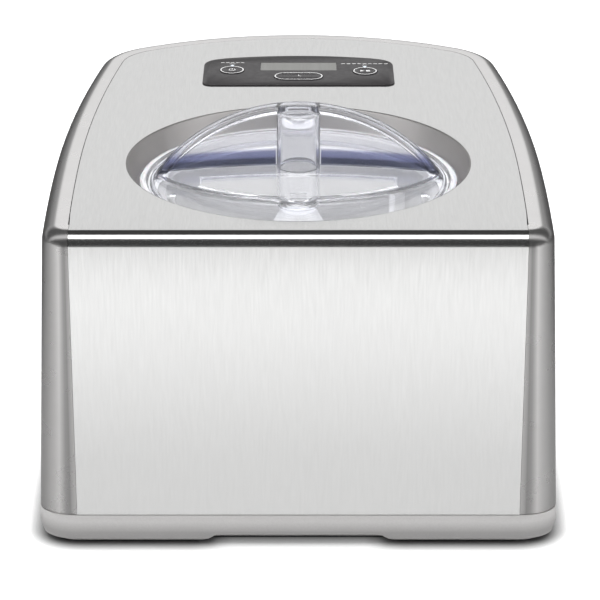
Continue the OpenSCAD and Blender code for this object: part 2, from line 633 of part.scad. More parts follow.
module fan_shroud() color("gray") translate([0, fan_y, fan_z]) {
    x0 = cond_x - 5;
    difference() {
        translate([x0, -cond_l / 2, -cond_h / 2]) cube([3, cond_l, cond_h]);
        translate([x0 - 1, 0, 0]) rotate([0, 90, 0]) cylinder(r = fan_r + 2, h = 5);
    }
    translate([x0 - 16, 0, 0]) rotate([0, 90, 0]) ring_of(fan_r + 4, fan_r + 2, 17);
    // Arms that carry the fan's motor
    for (a = [0, 120, 240]) rotate([a, 0, 0]) translate([x0 - 20, -3, 0]) {
        translate([0, 0, 14]) cube([3, 6, fan_r - 11]);
        translate([0, 0, fan_r + 1.5]) cube([5, 6, 2]);
    }
    translate([x0 - 20, 0, 0]) rotate([0, 90, 0]) ring_of(18, 9.3, 3);
}
module fan_motor() color("dimgray") translate([cond_x - 50, fan_y, fan_z])
    rotate([0, 90, 0]) difference() {
        union() {
            cylinder(r = 17, h = 24.9);
            cylinder(r = 9, h = 27);
        }
        translate([0, 0, 12]) cylinder(r = 1.5 + run_gap, h = 20, $fn = 24);
    }
module fan_blades() color("whitesmoke") translate([cond_x - 20, fan_y, fan_z]) {
    rotate([0, 90, 0]) cylinder(r = 11, h = 12);
    translate([-10, 0, 0]) rotate([0, 90, 0]) cylinder(r = 1.5, h = 12, $fn = 24);
    for (k = [0:6]) rotate([k * 360 / 7, 0, 0]) translate([6, 0, 9.5]) rotate([0, 0, 38])
        translate([-0.8, -8, 0]) cube([1.6, 16, fan_r - 10.5]);
}
drier_p = [12, 264];
module filter_drier() color("peru") translate([drier_p[0], front_y + drier_p[1], floor_z + 40]) {
    cylinder(r = 8, h = 60);
    translate([0, 0, -10]) cylinder(r1 = 3, r2 = 8, h = 10);
    translate([0, 0, 60]) cylinder(r1 = 8, r2 = 3, h = 10);
}
coil_out = [0, dish_y + coil_mid_r, 0];
comp_port = [comp_c[0] + 34, front_y + comp_c[1] - 34, 0];
module suction_line() color("peru") pipe(rounded([
    coil_out + [0, 0, coil_low_z], coil_out + [0, 26, coil_low_z], coil_out + [-4, 38, coil_low_z + 8],
    comp_port + [12, -14, comp_z + 60], comp_port + [-2, 2, comp_z + 60]]), 3.5);
comp_at = [comp_c[0], front_y + comp_c[1], comp_z];
cond_end = [cond_x, front_y + cond_t + cond_l, floor_z + 92];
module discharge_line() color("peru") pipe(rounded([
    comp_at + [40, 20, 50], comp_at + [62, 34, 50], comp_at + [70, 44, 90],
    [cond_x - 12, cond_end[1] + 10, comp_z + 96], cond_end + [6, 9, 0], cond_end + [6, 2, 0]]), 2.8);
module capillary_tube() color("peru") pipe(rounded([
    [drier_p[0], front_y + drier_p[1], floor_z + 109], [drier_p[0], front_y + drier_p[1], coil_high_z - 8],
    [drier_p[0] - 4, front_y + drier_p[1] - 8, coil_high_z], coil_out + [0, 20, coil_high_z],
    coil_out + [0, 0, coil_high_z]]), 1.6, 6);

// ---- Electrics ----
board_x = 28;
board_t = 292;
board_l = 66;
board_z = floor_z + 2;
board_th = 1.6;
module power_board() color("darkgreen") translate([board_x, front_y + board_t, board_z]) {
    translate([-board_th / 2, 0, 0]) cube([board_th, board_l, 88]);
    translate([-11, 10, 40]) cube([11, 24, 30]);
    translate([-9, 40, 30]) cube([9, 14, 20]);
    translate([-13, 46, 66]) rotate([0, 90, 0]) cylinder(r = 8, h = 13);
}
pcb_z = top_h - 25;
pcb_th = 1.6;
power_p = [-45.5, 311];
start_p = [45.5, 308.5];
timer_p = [0, 297];
lamp_dt = 11.5;
timer_half = [16.7, 8];
window_half = [26, 8.6];
window_t = 320;
bezel_z = top_h - 5.5;
switch_h = 4.6;
module at_panel(p, z = 0) translate([p[0], front_y + p[1], z]) children();
module at_board_screws(z) for (x = [-1, 1]) for (t = [panel_t + 8.5, panel_t + 52])
    at_panel([x * (panel_half - 10), t], z) children();
module at_lamps() for (p = [power_p, start_p]) at_panel(p + [0, lamp_dt]) children();
module panel_plan() {
    bow = 10;
    arc_r = (panel_half * panel_half + bow * bow) / (2 * bow);
    front_r = 6;
    rear_r = 14;
    translate([0, front_y]) hull() {
        for (side = [-1, 1]) translate([side * (panel_half - front_r), panel_t + front_r])
            circle(r = front_r, $fn = 32);
        for (side = [-1, 1]) translate([side * (panel_half - rear_r), panel_back_t - bow - rear_r + 3])
            circle(r = rear_r, $fn = 40);
        intersection() {
            translate([0, panel_back_t - arc_r]) circle(r = arc_r, $fn = 240);
            translate([-panel_half + rear_r, panel_back_t - bow]) square([2 * (panel_half - rear_r), bow]);
        }
    }
}
module control_panel() color("dimgray") difference() {
    union() {
        translate([0, 0, top_h]) linear_extrude(panel_rise) panel_plan();
        translate([-panel_half + 6.5, front_y + panel_t + 5.5, bezel_z]) cube([2 * panel_half - 13, 49, 6]);
        at_board_screws(pcb_z + pcb_th) cylinder(r = 2.5, h = bezel_z - pcb_z - pcb_th + 0.5, $fn = 32);
    }
    for (p = [power_p, start_p]) at_panel(p, bezel_z - 1) cylinder(r = button_r + button_gap, h = 12);
    at_panel(timer_p, bezel_z - 1) linear_extrude(12)
        stadium(timer_half[0] + button_gap, timer_half[1] + button_gap);
    at_panel([0, window_t], bezel_z - 1) linear_extrude(12)
        square(2 * (window_half - [1.5, 1.5]), center = true);
    at_panel([0, window_t], top_h) linear_extrude(12)
        square(2 * (window_half + [0.1, 0.1]), center = true);
    translate([0, 0, bezel_z - 1]) at_lamps() cylinder(r = 1.6, h = 12, $fn = 24);
}
module display_window() color("slategray") at_panel([0, window_t], top_h) linear_extrude(panel_rise)
    square(2 * window_half, center = true);
module display_module() color("darkseagreen") {
    at_panel([0, window_t], top_h - 4.2) linear_extrude(3.2)
        square(2 * (window_half - [1.8, 1.8]), center = true);
    for (x = [-1, 1]) at_panel([x * 20, window_t], pcb_z + pcb_th)
        cylinder(r = 1.5, h = top_h - 4 - pcb_z - pcb_th, $fn = 24);
}
module control_board() color("darkgreen") difference() {
    translate([-panel_half + 4, front_y + panel_t + 5, pcb_z]) cube([2 * panel_half - 8, 51, pcb_th]);
    at_board_screws(pcb_z - 1) cylinder(r = 1.2, h = 4, $fn = 24);
}
module tact_switches() color("black") for (p = [power_p, timer_p, start_p])
    at_panel(p, pcb_z + pcb_th) {
        translate([-3, -3, 0]) cube([6, 6, switch_h - 1]);
        cylinder(r = 1.7, h = switch_h, $fn = 24);
    }
// Cap, retaining flange and stem of one button over the outline in children()
cap_low_z = bezel_z - 2.6;
cap_flange = 1.2;
module button(p) at_panel(p) {
    stem_z = pcb_z + pcb_th + switch_h + button_travel + 0.1;
    translate([0, 0, cap_low_z]) linear_extrude(top_h + panel_rise + button_rise - cap_low_z) children(0);
    translate([0, 0, cap_low_z]) linear_extrude(2) children(1);
    translate([0, 0, stem_z]) cylinder(r = 1.8, h = bezel_z - 2 - stem_z, $fn = 24);
}
module round_button(p) color("dimgray") button(p) {
    circle(r = button_r);
    circle(r = button_r + cap_flange);
}
module power_button() round_button(power_p);
module start_stop_button() round_button(start_p);
module timer_button() color("dimgray") button(timer_p) {
    stadium(timer_half[0], timer_half[1]);
    stadium(timer_half[0] + cap_flange, timer_half[1] + cap_flange);
}
module lamp(p) at_panel(p + [0, lamp_dt], pcb_z + pcb_th) {
    cylinder(r = 1.4, h = top_h + panel_rise - pcb_z - pcb_th, $fn = 24);
    cylinder(r = 2.2, h = 4, $fn = 24);
}
module power_lamp() color("lightblue") lamp(power_p);
module start_stop_lamp() color("lightblue") lamp(start_p);

// ---- Lid ----
lid_top_z = rim_z + lid_crown;
dome_r = 92;
// Height of the lid's upper face at a distance r from its middle
function dome_z(r) = lid_top_z - lid_crown * r * r / (dome_r * dome_r);
dome_steps = [for (i = [0:8]) dome_r * i / 8];
module dome(over, under) rotate_extrude() polygon(concat(
    [for (r = dome_steps) [r, dome_z(r) + over]],
    [for (i = [8:-1:0]) [dome_steps[i], dome_z(dome_steps[i]) - under]]));
// The layer from over above the dome's upper face to under below it, inside a plan
module over_plan(over, under) intersection() {
    dome(over, under);
    translate([0, 0, rim_z - 12]) linear_extrude(40) children();
}
// The raised middle lies between two arcs, with a round bulge in front of its centre
lens_tip = 90;
lens_c = (lens_tip * lens_tip - lens_half * lens_half) / (2 * lens_half);
lens_r = lens_half + lens_c;
bulge_y = 7 - lens_half;
bulge_r = 13.5;
module lens_plan(inset) {
    intersection() {
        translate([0, lens_c]) circle(r = lens_r - inset, $fn = 240);
        translate([0, -lens_c]) circle(r = lens_r - inset, $fn = 240);
    }
    translate([0, bulge_y]) circle(r = bulge_r - inset, $fn = 64);
}
// The spout has a straight rear edge and follows the front of the raised middle
spout_rear = -15;
spout_edge = 4.5;
module spout_plan(inset) intersection() {
    lens_plan(spout_edge + inset);
    translate([-spout_half + inset, -100]) square([2 * (spout_half - inset), 100 + spout_rear - inset]);
}
module lid_seal() color("lightgray") at_bowl(ledge_z) ring_of(dish_floor_r - 2.4, dish_hole_r + 0.4, 1.2);
module lid() color("#c8d0e860") at_bowl() difference() {
    union() {
        difference() {
            union() {
                dome(0, lid_wall);
                over_plan(lens_rise, lid_wall) lens_plan(0);
            }
            over_plan(lens_rise - lid_wall, lid_wall + 2) lens_plan(lid_wall);
        }
        // Rim flange, groove and the skirt that centres the lid in the collar
        rotate_extrude() polygon([[dome_r - 2, rim_z - 1.7], [dome_r + 2.2, rim_z - 1.2],
            [dome_r + 3, rim_z + 0.2], [lid_r - 0.8, rim_z], [lid_r, rim_z - 0.8],
            [lid_r, ledge_z + 1.5], [skirt_r, ledge_z + 1.5],
            [skirt_r, collar_z + 2.5], [skirt_r - 2, collar_z + 2.5], [skirt_r - 2, rim_z - 2]]);
        for (k = [0:2]) rotate([0, 0, k * 120 + 90 - lug_half_a]) translate([0, 0, collar_z + 2.5])
            rotate_extrude(angle = 2 * lug_half_a) translate([skirt_r - 1, 0])
                square([lug_r - skirt_r + 1, 3]);
        arch();
        translate([0, 0, hub_z]) cylinder(r = tube_r, h = arch_top_z - rail_h + 1 - hub_z);
    }
    translate([0, 0, hub_z - 1]) cylinder(r = tube_r - 2, h = arch_top_z - rail_h - hub_z);
    // Spout with a rebate for its cover
    over_plan(lens_rise + 3, lid_wall / 2 - lens_rise) spout_plan(0);
    translate([0, 0, rim_z - 6]) linear_extrude(20) spout_plan(2);
}
hub_z = paddle_top_z + 3;
arch_top_z = rim_z + arch_h;
arch_circle_r = (arch_half * arch_half + arch_h * arch_h) / (2 * arch_h);
module arch() intersection() {
    translate([0, 0, arch_top_z - arch_circle_r]) rotate([90, 0, 0]) {
        difference() {
            cylinder(r = arch_circle_r, h = rail_w, center = true, $fn = 240);
            cylinder(r = arch_circle_r - rail_h, h = rail_w + 2, center = true, $fn = 240);
        }
        cylinder(r = arch_circle_r - rail_h + 1, h = 3, center = true, $fn = 240);
    }
    // Its foot ends inside the dome's wall
    difference() {
        translate([0, 0, rim_z - 2]) cylinder(r = dome_r, h = arch_h + 4);
        dome(-1, 20);
        over_plan(lens_rise - 1, 20) lens_plan(lid_wall);
    }
}
grip_half = 5;
module spout_cover() color("#c8d0e860") at_bowl() {
    over_plan(lens_rise, lid_wall / 2 - lens_rise - 0.05) spout_plan(cover_gap);
    translate([-grip_half, bulge_y - bulge_r + spout_edge + 3, dome_z(bulge_y) + lens_rise - 0.6])
        cube([2 * grip_half, 2, 3.6]);
}

base_tray();
rubber_feet();
steel_wrap();
housing_shell();
bowl_collar();
control_panel();
display_window();
display_module();
control_board();
tact_switches();
power_button();
timer_button();
start_stop_button();
power_lamp();
start_stop_lamp();
lid_seal();
lid();
spout_cover();
mixing_bowl();
bowl_bail();
mixing_paddle();
drive_shaft();
shaft_bush();
gearbox_case();
gearbox_cover();
drive_gear();
idler_gear();
idler_pin();
motor_pinion();
drive_motor();
bowl_cradle();
chilled_bowl();
evaporator_coil();
foam_jacket();
compressor();
compressor_grommets();
condenser();
fan_shroud();
fan_blades();
fan_motor();
filter_drier();
suction_line();
discharge_line();
capillary_tube();
power_board();
cord_gland();
base_screws();
wall_brackets();
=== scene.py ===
import math

import bmesh
import bpy
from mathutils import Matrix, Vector, geometry


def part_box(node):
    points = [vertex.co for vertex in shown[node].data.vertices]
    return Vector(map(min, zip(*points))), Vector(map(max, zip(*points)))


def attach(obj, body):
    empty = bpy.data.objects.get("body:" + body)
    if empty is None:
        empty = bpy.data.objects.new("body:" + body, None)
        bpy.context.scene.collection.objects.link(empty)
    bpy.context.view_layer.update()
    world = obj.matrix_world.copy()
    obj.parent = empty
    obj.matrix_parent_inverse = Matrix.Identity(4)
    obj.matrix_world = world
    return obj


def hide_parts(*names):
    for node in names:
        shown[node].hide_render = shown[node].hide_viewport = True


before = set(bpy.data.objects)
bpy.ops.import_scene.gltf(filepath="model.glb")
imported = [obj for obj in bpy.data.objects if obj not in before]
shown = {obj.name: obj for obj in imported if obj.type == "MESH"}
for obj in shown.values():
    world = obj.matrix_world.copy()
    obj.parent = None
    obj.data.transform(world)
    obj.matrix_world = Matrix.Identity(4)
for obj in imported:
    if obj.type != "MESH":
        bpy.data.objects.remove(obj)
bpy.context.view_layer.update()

# ---------------------------------------------------------------- Studio
# A long lens well in front of the machine looks down on it a little. The floor and the surroundings are
# plain and pale; a bright band overhead and darker ones beside it give the bent steel its dark and light
# stripes.
panel_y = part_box("steel_wrap")[0][1]
camera_data = bpy.data.cameras.new("camera")
camera_data.lens = 160.3
camera_data.sensor_width = 36
camera_data.clip_end = 20
camera = bpy.data.objects.new("camera", camera_data)
camera.location = (0.001, panel_y - 1.440, 0.755)
camera.rotation_euler = (math.radians(90 - 22.43), 0, 0)
bpy.context.collection.objects.link(camera)
scene = bpy.context.scene
scene.camera = camera
scene.view_settings.view_transform = "Standard"


def part_of(tree, kind, axis):
    """One part of a point's place on its object, of the way it faces, or of a direction."""
    spot = tree.nodes.new("ShaderNodeTexCoord")
    parts = tree.nodes.new("ShaderNodeSeparateXYZ")
    tree.links.new(spot.outputs[kind], parts.inputs[0])
    return parts.outputs[axis]


def fill(tree, socket, value):
    """Sets a socket to a number or a colour, or links it."""
    if isinstance(value, tuple):
        socket.default_value = (*value, 1)
    elif isinstance(value, (int, float)):
        socket.default_value = value
    else:
        tree.links.new(value, socket)


def sum_of(tree, operation, *values):
    """One step of arithmetic."""
    step = tree.nodes.new("ShaderNodeMath")
    step.operation = operation
    for socket, value in zip(step.inputs, values):
        fill(tree, socket, value)
    return step.outputs[0]


def blended(tree, kind, factor, first, second):
    """Mix of two colours."""
    blend = tree.nodes.new("ShaderNodeMix")
    blend.data_type, blend.blend_type = "RGBA", kind
    for name, value in (("Factor", factor), ("A", first), ("B", second)):
        fill(tree, blend.inputs[name], value)
    return blend.outputs["Result"]


def share_of(tree, value, low, high, first=0.0, last=1.0):
    """How far a value is from low to high, given as a number from first to last."""
    span = tree.nodes.new("ShaderNodeMapRange")
    span.inputs["From Min"].default_value, span.inputs["From Max"].default_value = low, high
    span.inputs["To Min"].default_value, span.inputs["To Max"].default_value = first, last
    tree.links.new(value, span.inputs["Value"])
    return span.outputs["Result"]


def ramp_of(tree, value, stops):
    """Colour ramp of a value through stops of place and colour."""
    ramp = tree.nodes.new("ShaderNodeValToRGB")
    elements = ramp.color_ramp.elements
    while len(elements) < len(stops):
        elements.new(0.5)
    for element, (place, shade) in zip(elements, stops):
        element.position = place
        element.color = (*shade, 1)
    tree.links.new(value, ramp.inputs["Fac"])
    return ramp.outputs["Color"]


world = bpy.data.worlds.new("studio")
scene.world = world
world.use_nodes = True
sky_tree = world.node_tree
nodes, links = sky_tree.nodes, sky_tree.links
nodes.clear()
swing = sum_of(sky_tree, "ARCTAN2", part_of(sky_tree, "Generated", "Z"), part_of(sky_tree, "Generated", "Y"))
share = sum_of(sky_tree, "DIVIDE", swing, math.pi)
# Height of the light over the machine from the horizon behind it, 0, round to the one in front, 1
stops = [(0.0, 0.16), (0.055, 0.20), (0.08, 0.90), (0.165, 0.84), (0.195, 0.06), (0.51, 0.05), (0.535, 2.3),
         (0.69, 2.3), (0.715, 0.05), (1.0, 0.05)]
bands = ramp_of(sky_tree, share, [(place, (level, level, level)) for place, level in stops])
seen = nodes.new("ShaderNodeLightPath")
sky = nodes.new("ShaderNodeBackground")
links.new(bands, sky.inputs["Color"])
backdrop = nodes.new("ShaderNodeBackground")
backdrop.inputs["Color"].default_value = (1, 1, 1, 1)
choice = nodes.new("ShaderNodeMixShader")
links.new(seen.outputs["Is Camera Ray"], choice.inputs[0])
links.new(sky.outputs[0], choice.inputs[1])
links.new(backdrop.outputs[0], choice.inputs[2])
world_out = nodes.new("ShaderNodeOutputWorld")
links.new(choice.outputs[0], world_out.inputs[0])


def add_light(name, place, target, width, height, power):
    lamp = bpy.data.lights.new(name, "AREA")
    lamp.shape = "RECTANGLE"
    lamp.size, lamp.size_y, lamp.energy = width, height, power
    lamp_object = bpy.data.objects.new(name, lamp)
    lamp_object.location = place
    lamp_object.rotation_euler = (Vector(target) - Vector(place)).to_track_quat("-Z", "Y").to_euler()
    lamp_object.visible_glossy = False
    bpy.context.collection.objects.link(lamp_object)


add_light("overhead", (0, -0.3, 1.9), (0, 0, 0), 1.6, 1.2, 22)
add_light("left_front", (-1.5, -1.5, 1.1), (0, 0, 0.1), 0.8, 1.2, 9)
add_light("right_front", (1.5, -1.4, 1.0), (0, 0, 0.1), 0.8, 1.2, 6)


def add_object(name, mesh):
    made = bpy.data.objects.new(name, mesh)
    bpy.context.collection.objects.link(made)
    return made


def mesh_of(name, vertices, faces):
    mesh = bpy.data.meshes.new(name)
    mesh.from_pydata([tuple(v) for v in vertices], [], faces)
    mesh.update()
    return mesh


floor = add_object("floor", mesh_of("floor", [(-6, -6, 0), (6, -6, 0), (6, 6, 0), (-6, 6, 0)],
                                    [(0, 1, 2, 3)]))
floor_paint = bpy.data.materials.new("floor_paint")
floor_paint.use_nodes = True
floor_tree = floor_paint.node_tree
floor_shader = floor_tree.nodes["Principled BSDF"]
floor_shader.inputs["Roughness"].default_value = 0.9
floor_shader.inputs["Emission Color"].default_value = (1, 1, 1, 1)
# White where it is looked at, pale in front of the machine and dark elsewhere where the metal mirrors it
floor_seen = floor_tree.nodes.new("ShaderNodeLightPath")
floor_back, floor_front = 0.5, -1.5
distance = share_of(floor_tree, part_of(floor_tree, "Object", "Y"), floor_back, floor_front)
floor_stops = [(0.0, 0.08), (0.16, 0.12), (0.30, 0.56), (0.42, 0.66), (0.58, 1.0), (0.66, 1.12),
               (0.70, 0.04), (1.0, 0.02)]
mirrored = ramp_of(floor_tree, distance, [(place, (level, level, level)) for place, level in floor_stops])
# Painted contact shadow: for the camera, the floor's colour and its glow darken close to what stands on it
closeness = floor_tree.nodes.new("ShaderNodeAmbientOcclusion")
closeness.inputs["Distance"].default_value = 0.013
painted_contact_shadow = sum_of(floor_tree, "POWER", closeness.outputs["AO"], 2.2)
shaded = blended(floor_tree, "MIX", painted_contact_shadow, (0.03, 0.03, 0.03), (0.93, 0.93, 0.93))
looked_at = floor_seen.outputs["Is Camera Ray"]
fill(floor_tree, floor_shader.inputs["Base Color"], blended(floor_tree, "MIX", looked_at, mirrored, shaded))
glow = sum_of(floor_tree, "MULTIPLY", looked_at, sum_of(floor_tree, "MULTIPLY", painted_contact_shadow, 0.5))
fill(floor_tree, floor_shader.inputs["Emission Strength"], glow)
floor.data.materials.append(floor_paint)


# ---------------------------------------------------------------- Brushed steel front and top
# One stainless sheet, bent over from the front to the top. The top carries a pressed dish that the lid
# sits in. The grain runs from front to back on the top and up and down on the front.
steel_low, steel_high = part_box("steel_wrap")
lid_low, lid_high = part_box("lid")
shell_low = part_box("housing_shell")[0]
base_low, base_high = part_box("base_tray")
top_z = steel_high[2]
front_y = steel_low[1]
seam_z = steel_low[2]
lid_radius = (lid_high[0] - lid_low[0]) / 2
dish_y = (lid_high[1] + lid_low[1]) / 2
sheet = 0.001
bend_radius = 0.0082
dish_radius = lid_radius + 0.0067
dish_floor_radius = lid_radius + 0.0012
dish_hole_radius = lid_radius - 0.0039
ledge_z = top_z - 0.015

# Outline of the seam between the steel and the housing, as arcs that meet smoothly
edge_width = 0.0162
flare = 0.007
lip = 0.0004
corner_radius, back_radius = 0.035, 0.2
front_side_radius, rear_side_radius = 3.2, 1.549
bulge = 0.124
seam_half = base_high[0] - edge_width - flare - lip
back_depth = base_high[1] - front_y - edge_width - flare - lip
pivot_depth = edge_width + 0.0003


def turn(centre, radius, angle):
    return (centre[0] + radius * math.cos(angle), centre[1] + radius * math.sin(angle))


def arc(centre, radius, first, last, count):
    """Stations along an arc without its first one: (x, depth behind the front, direction of the outside)."""
    steps = [first + (last - first) * i / count for i in range(1, count + 1)]
    return [(*turn(centre, radius, a), a) for a in steps]


front_centre = (seam_half - front_side_radius, bulge)
rear_centre = (seam_half - rear_side_radius, bulge)
back_centre = (0, back_depth - back_radius)
# The corner's circle touches the side's and the back's from inside
reach_a, reach_b = back_radius - corner_radius, rear_side_radius - corner_radius
between = Vector(rear_centre) - Vector(back_centre)
along = (reach_a ** 2 - reach_b ** 2 + between.length_squared) / (2 * between.length)
across = math.sqrt(reach_a ** 2 - along ** 2)
ahead = between.normalized()
corner_centre = Vector(back_centre) + ahead * along - Vector((-ahead.y, ahead.x)) * across
side_angle = math.atan2(corner_centre.y - rear_centre[1], corner_centre.x - rear_centre[0])
back_angle = math.atan2(corner_centre.y - back_centre[1], corner_centre.x - back_centre[0])
start_angle = -math.asin((bulge - pivot_depth) / front_side_radius)
pivot = turn(front_centre, front_side_radius, start_angle)


# The cooling slots run along the sides from vent_start to vent_end and across the middle of the back
vent_start, vent_end, vent_half = 0.255, 0.339, 0.056
wall_middle = edge_width + flare * 0.6
vent_first = math.asin((vent_start - bulge) / (rear_side_radius + wall_middle))
vent_last = math.asin((vent_end - corner_centre.y) / (corner_radius + wall_middle))
rear_vent_angle = math.acos(vent_half / (back_radius + wall_middle))
corner_stations = [(*pivot, math.radians(-90) + (start_angle + math.radians(90)) * i / 14)
                   for i in range(15)]
seam_stations = (
    arc(front_centre, front_side_radius, start_angle, 0, 6)
    + arc(rear_centre, rear_side_radius, 0, vent_first, 6)
    + arc(rear_centre, rear_side_radius, vent_first, side_angle, 6)
    + arc(corner_centre, corner_radius, side_angle, vent_last, 2)
    + arc(corner_centre, corner_radius, vent_last, back_angle, 18)
    + arc(back_centre, back_radius, back_angle, rear_vent_angle, 6)
    + arc(back_centre, back_radius, rear_vent_angle, math.radians(90), 10)
)


def outside(station, out, front_out, z, side):
    """A point out beyond the seam; round the front corners it goes front_out forwards."""
    x, depth, a = station
    push = front_out if a < 0 else out
    return (side * (x + out * math.cos(a)), front_y + depth + push * math.sin(a), z)


def round_the_body(stations):
    """Right half of the stations and then the mirrored left half."""
    return [(s, 1) for s in stations] + [(s, -1) for s in reversed(stations[:-1])]


def join_rings(rings, closed=False, faces=None):
    """Quads between rings of equally many points. Each ring is an open row of points."""
    width = len(rings[0])
    faces = [] if faces is None else faces
    count = len(rings) if closed else len(rings) - 1
    for i in range(count):
        for j in range(width - 1):
            k = (i + 1) % len(rings)
            faces.append((i * width + j, k * width + j, k * width + j + 1, i * width + j + 1))
    return [p for ring in rings for p in ring], faces


def tidy_mesh(mesh, outwards=True, merge=1e-6):
    work = bmesh.new()
    work.from_mesh(mesh)
    bmesh.ops.remove_doubles(work, verts=work.verts, dist=merge)
    if outwards:
        bmesh.ops.recalc_face_normals(work, faces=work.faces)
    work.to_mesh(mesh)
    work.free()


def smooth(target, degrees=35):
    mesh = target.data
    mesh.shade_smooth()
    mesh.set_sharp_from_angle(angle=math.radians(degrees))


def settle(target):
    """Turns the piece and its modifiers into one plain mesh."""
    bpy.context.view_layer.update()
    graph = bpy.context.evaluated_depsgraph_get()
    done = bpy.data.meshes.new_from_object(target.evaluated_get(graph))
    done.name = target.name
    target.modifiers.clear()
    target.data = done
    return target


def give_wall(target, thickness):
    solid = target.modifiers.new("wall", "SOLIDIFY")
    solid.thickness = thickness
    solid.offset = -1
    return settle(target)


def ring(radius, z, count=144):
    return [(radius * math.cos(2 * math.pi * i / count),
             dish_y + radius * math.sin(2 * math.pi * i / count), z)
            for i in range(count)]


def new_material(name, colour, roughness, metal=0.0):
    made = bpy.data.materials.new(name)
    made.use_nodes = True
    shader = made.node_tree.nodes["Principled BSDF"]
    shader.inputs["Base Color"].default_value = (*colour, 1)
    shader.inputs["Roughness"].default_value = roughness
    shader.inputs["Metallic"].default_value = metal
    return made, made.node_tree, shader


def placed_noise(tree, scale, strength=(0.0, 1.0), detail=3.0):
    """Noise on the object's own coordinates, stretched by scale, mapped to a span of values."""
    spot = tree.nodes.new("ShaderNodeTexCoord")
    stretch = tree.nodes.new("ShaderNodeMapping")
    stretch.inputs["Scale"].default_value = scale
    grain = tree.nodes.new("ShaderNodeTexNoise")
    grain.inputs["Scale"].default_value = 1.0
    grain.inputs["Detail"].default_value = detail
    tree.links.new(spot.outputs["Object"], stretch.inputs["Vector"])
    tree.links.new(stretch.outputs["Vector"], grain.inputs["Vector"])
    return share_of(tree, grain.outputs["Fac"], 0.3, 0.7, *strength)


def tint(tree, shader, factor, dark, light):
    """Base colour between two colours by a factor."""
    tree.links.new(blended(tree, "MIX", factor, dark, light), shader.inputs["Base Color"])


def bump(tree, shader, height, distance, strength=1.0):
    lift = tree.nodes.new("ShaderNodeBump")
    lift.inputs["Strength"].default_value = strength
    lift.inputs["Distance"].default_value = distance
    tree.links.new(height, lift.inputs["Height"])
    tree.links.new(lift.outputs["Normal"], shader.inputs["Normal"])


def warm_tone(tree, value, stops):
    """Warm grey along a value, through stops of place and level."""
    return ramp_of(tree, value, [(place, (level, level * 0.99, level * 0.985)) for place, level in stops])


def brushed_metal(name, grain_scale, dark, light, roughness, strength):
    """Metal with fine scratches. grain_scale is small along the grain and large across it."""
    made, tree, shader = new_material(name, light, roughness, 1.0)
    fine = placed_noise(tree, grain_scale, (0.0, 1.0), 4.0)
    tint(tree, shader, fine, dark, light)
    rough = placed_noise(tree, tuple(s * 0.6 for s in grain_scale), (roughness - 0.02, roughness + 0.02),
                         3.0)
    tree.links.new(rough, shader.inputs["Roughness"])
    bump(tree, shader, fine, strength)
    return made


front_steel = brushed_metal("front_steel", (1300, 300, 90), (0.725, 0.725, 0.72), (0.765, 0.765, 0.76),
                            0.20, 1e-6)
top_steel = brushed_metal("top_steel", (1300, 90, 300), (0.725, 0.725, 0.72), (0.765, 0.765, 0.76), 0.14,
                          1e-6)
# The dish is pressed, not brushed, and rougher; its darker, warmer grey is painted shade in the recess
dish_steel_painted_shade = brushed_metal("dish_steel_painted_shade", (60, 60, 60), (0.53, 0.515, 0.51), (0.56, 0.545, 0.54), 0.50, 1e-6)

front_half = pivot[0] - 0.0002


def flat_with_hole(outline, hole, z):
    """A flat face between two closed outlines."""
    work = bmesh.new()
    for loop in (outline, hole):
        corners = [work.verts.new((p[0], p[1], z)) for p in loop]
        for first, second in zip(corners, corners[1:] + corners[:1]):
            work.edges.new((first, second))
    bmesh.ops.triangle_fill(work, use_beauty=True, use_dissolve=False, edges=work.edges[:])
    points = [v.co.copy() for v in work.verts]
    work.verts.index_update()
    faces = [tuple(v.index for v in f.verts) for f in work.faces]
    work.free()
    return points, faces


def add_part(vertices, faces, more_vertices, more_faces):
    start = len(vertices)
    vertices.extend(more_vertices)
    faces.extend(tuple(i + start for i in face) for face in more_faces)


bend_back = front_y + bend_radius
outline = [(front_half, bend_back), (front_half, front_y + pivot_depth)]
outline += [outside(s, 0.0002, 0.0002, top_z, side)[:2] for s, side in round_the_body(seam_stations)]
outline += [(-front_half, front_y + pivot_depth), (-front_half, bend_back)]
steel_vertices, steel_faces = [], []
add_part(steel_vertices, steel_faces, *flat_with_hole(outline, ring(dish_radius + 0.0022, top_z), top_z))
# Rounded lip of the dish, its wall, the turn into the ledge and the ledge
dish_profile = [(dish_radius + 0.0022, top_z), (dish_radius + 0.0016, top_z)]
dish_profile += [(dish_radius + 0.0016 - 0.0018 * math.sin(a), top_z - 0.0018 * (1 - math.cos(a)))
                 for a in (math.radians(s) for s in (12, 24, 36, 48, 60))]
dish_profile += [(dish_floor_radius + 0.0009, ledge_z + 0.0016),
                 (dish_floor_radius + 0.0004, ledge_z + 0.0006),
                 (dish_floor_radius - 0.0006, ledge_z + 0.0001), (dish_floor_radius - 0.0012, ledge_z),
                 (dish_hole_radius, ledge_z)]
rings = [ring(r, z) + ring(r, z)[:1] for r, z in dish_profile]
dish_vertices, dish_faces = join_rings(rings)
add_part(steel_vertices, steel_faces, dish_vertices, dish_faces)
bend = [(front_y + bend_radius * (1 - math.sin(a)), top_z - bend_radius * (1 - math.cos(a)))
        for a in (math.radians(90 * i / 16) for i in range(17))] + [(front_y, seam_z)]
rows = [[(side * front_half, y, z) for side in (-1, 1)] for y, z in bend]
add_part(steel_vertices, steel_faces, *join_rings(rows))
steel = add_object("steel_sheet", mesh_of("steel_sheet", steel_vertices, steel_faces))
tidy_mesh(steel.data, merge=2e-5)
give_wall(steel, sheet)
smooth(steel, 50)
for metal in (top_steel, front_steel, dish_steel_painted_shade):
    steel.data.materials.append(metal)
for face in steel.data.polygons:
    middle = face.center
    away = math.hypot(middle.x, middle.y - dish_y)
    if middle.z < top_z - bend_radius * 0.35 and middle.y < bend_back:
        face.material_index = 1
    elif away < dish_radius + 0.0016 and middle.z < top_z - 0.00005:
        face.material_index = 2
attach(steel, "housing")
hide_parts("steel_wrap")


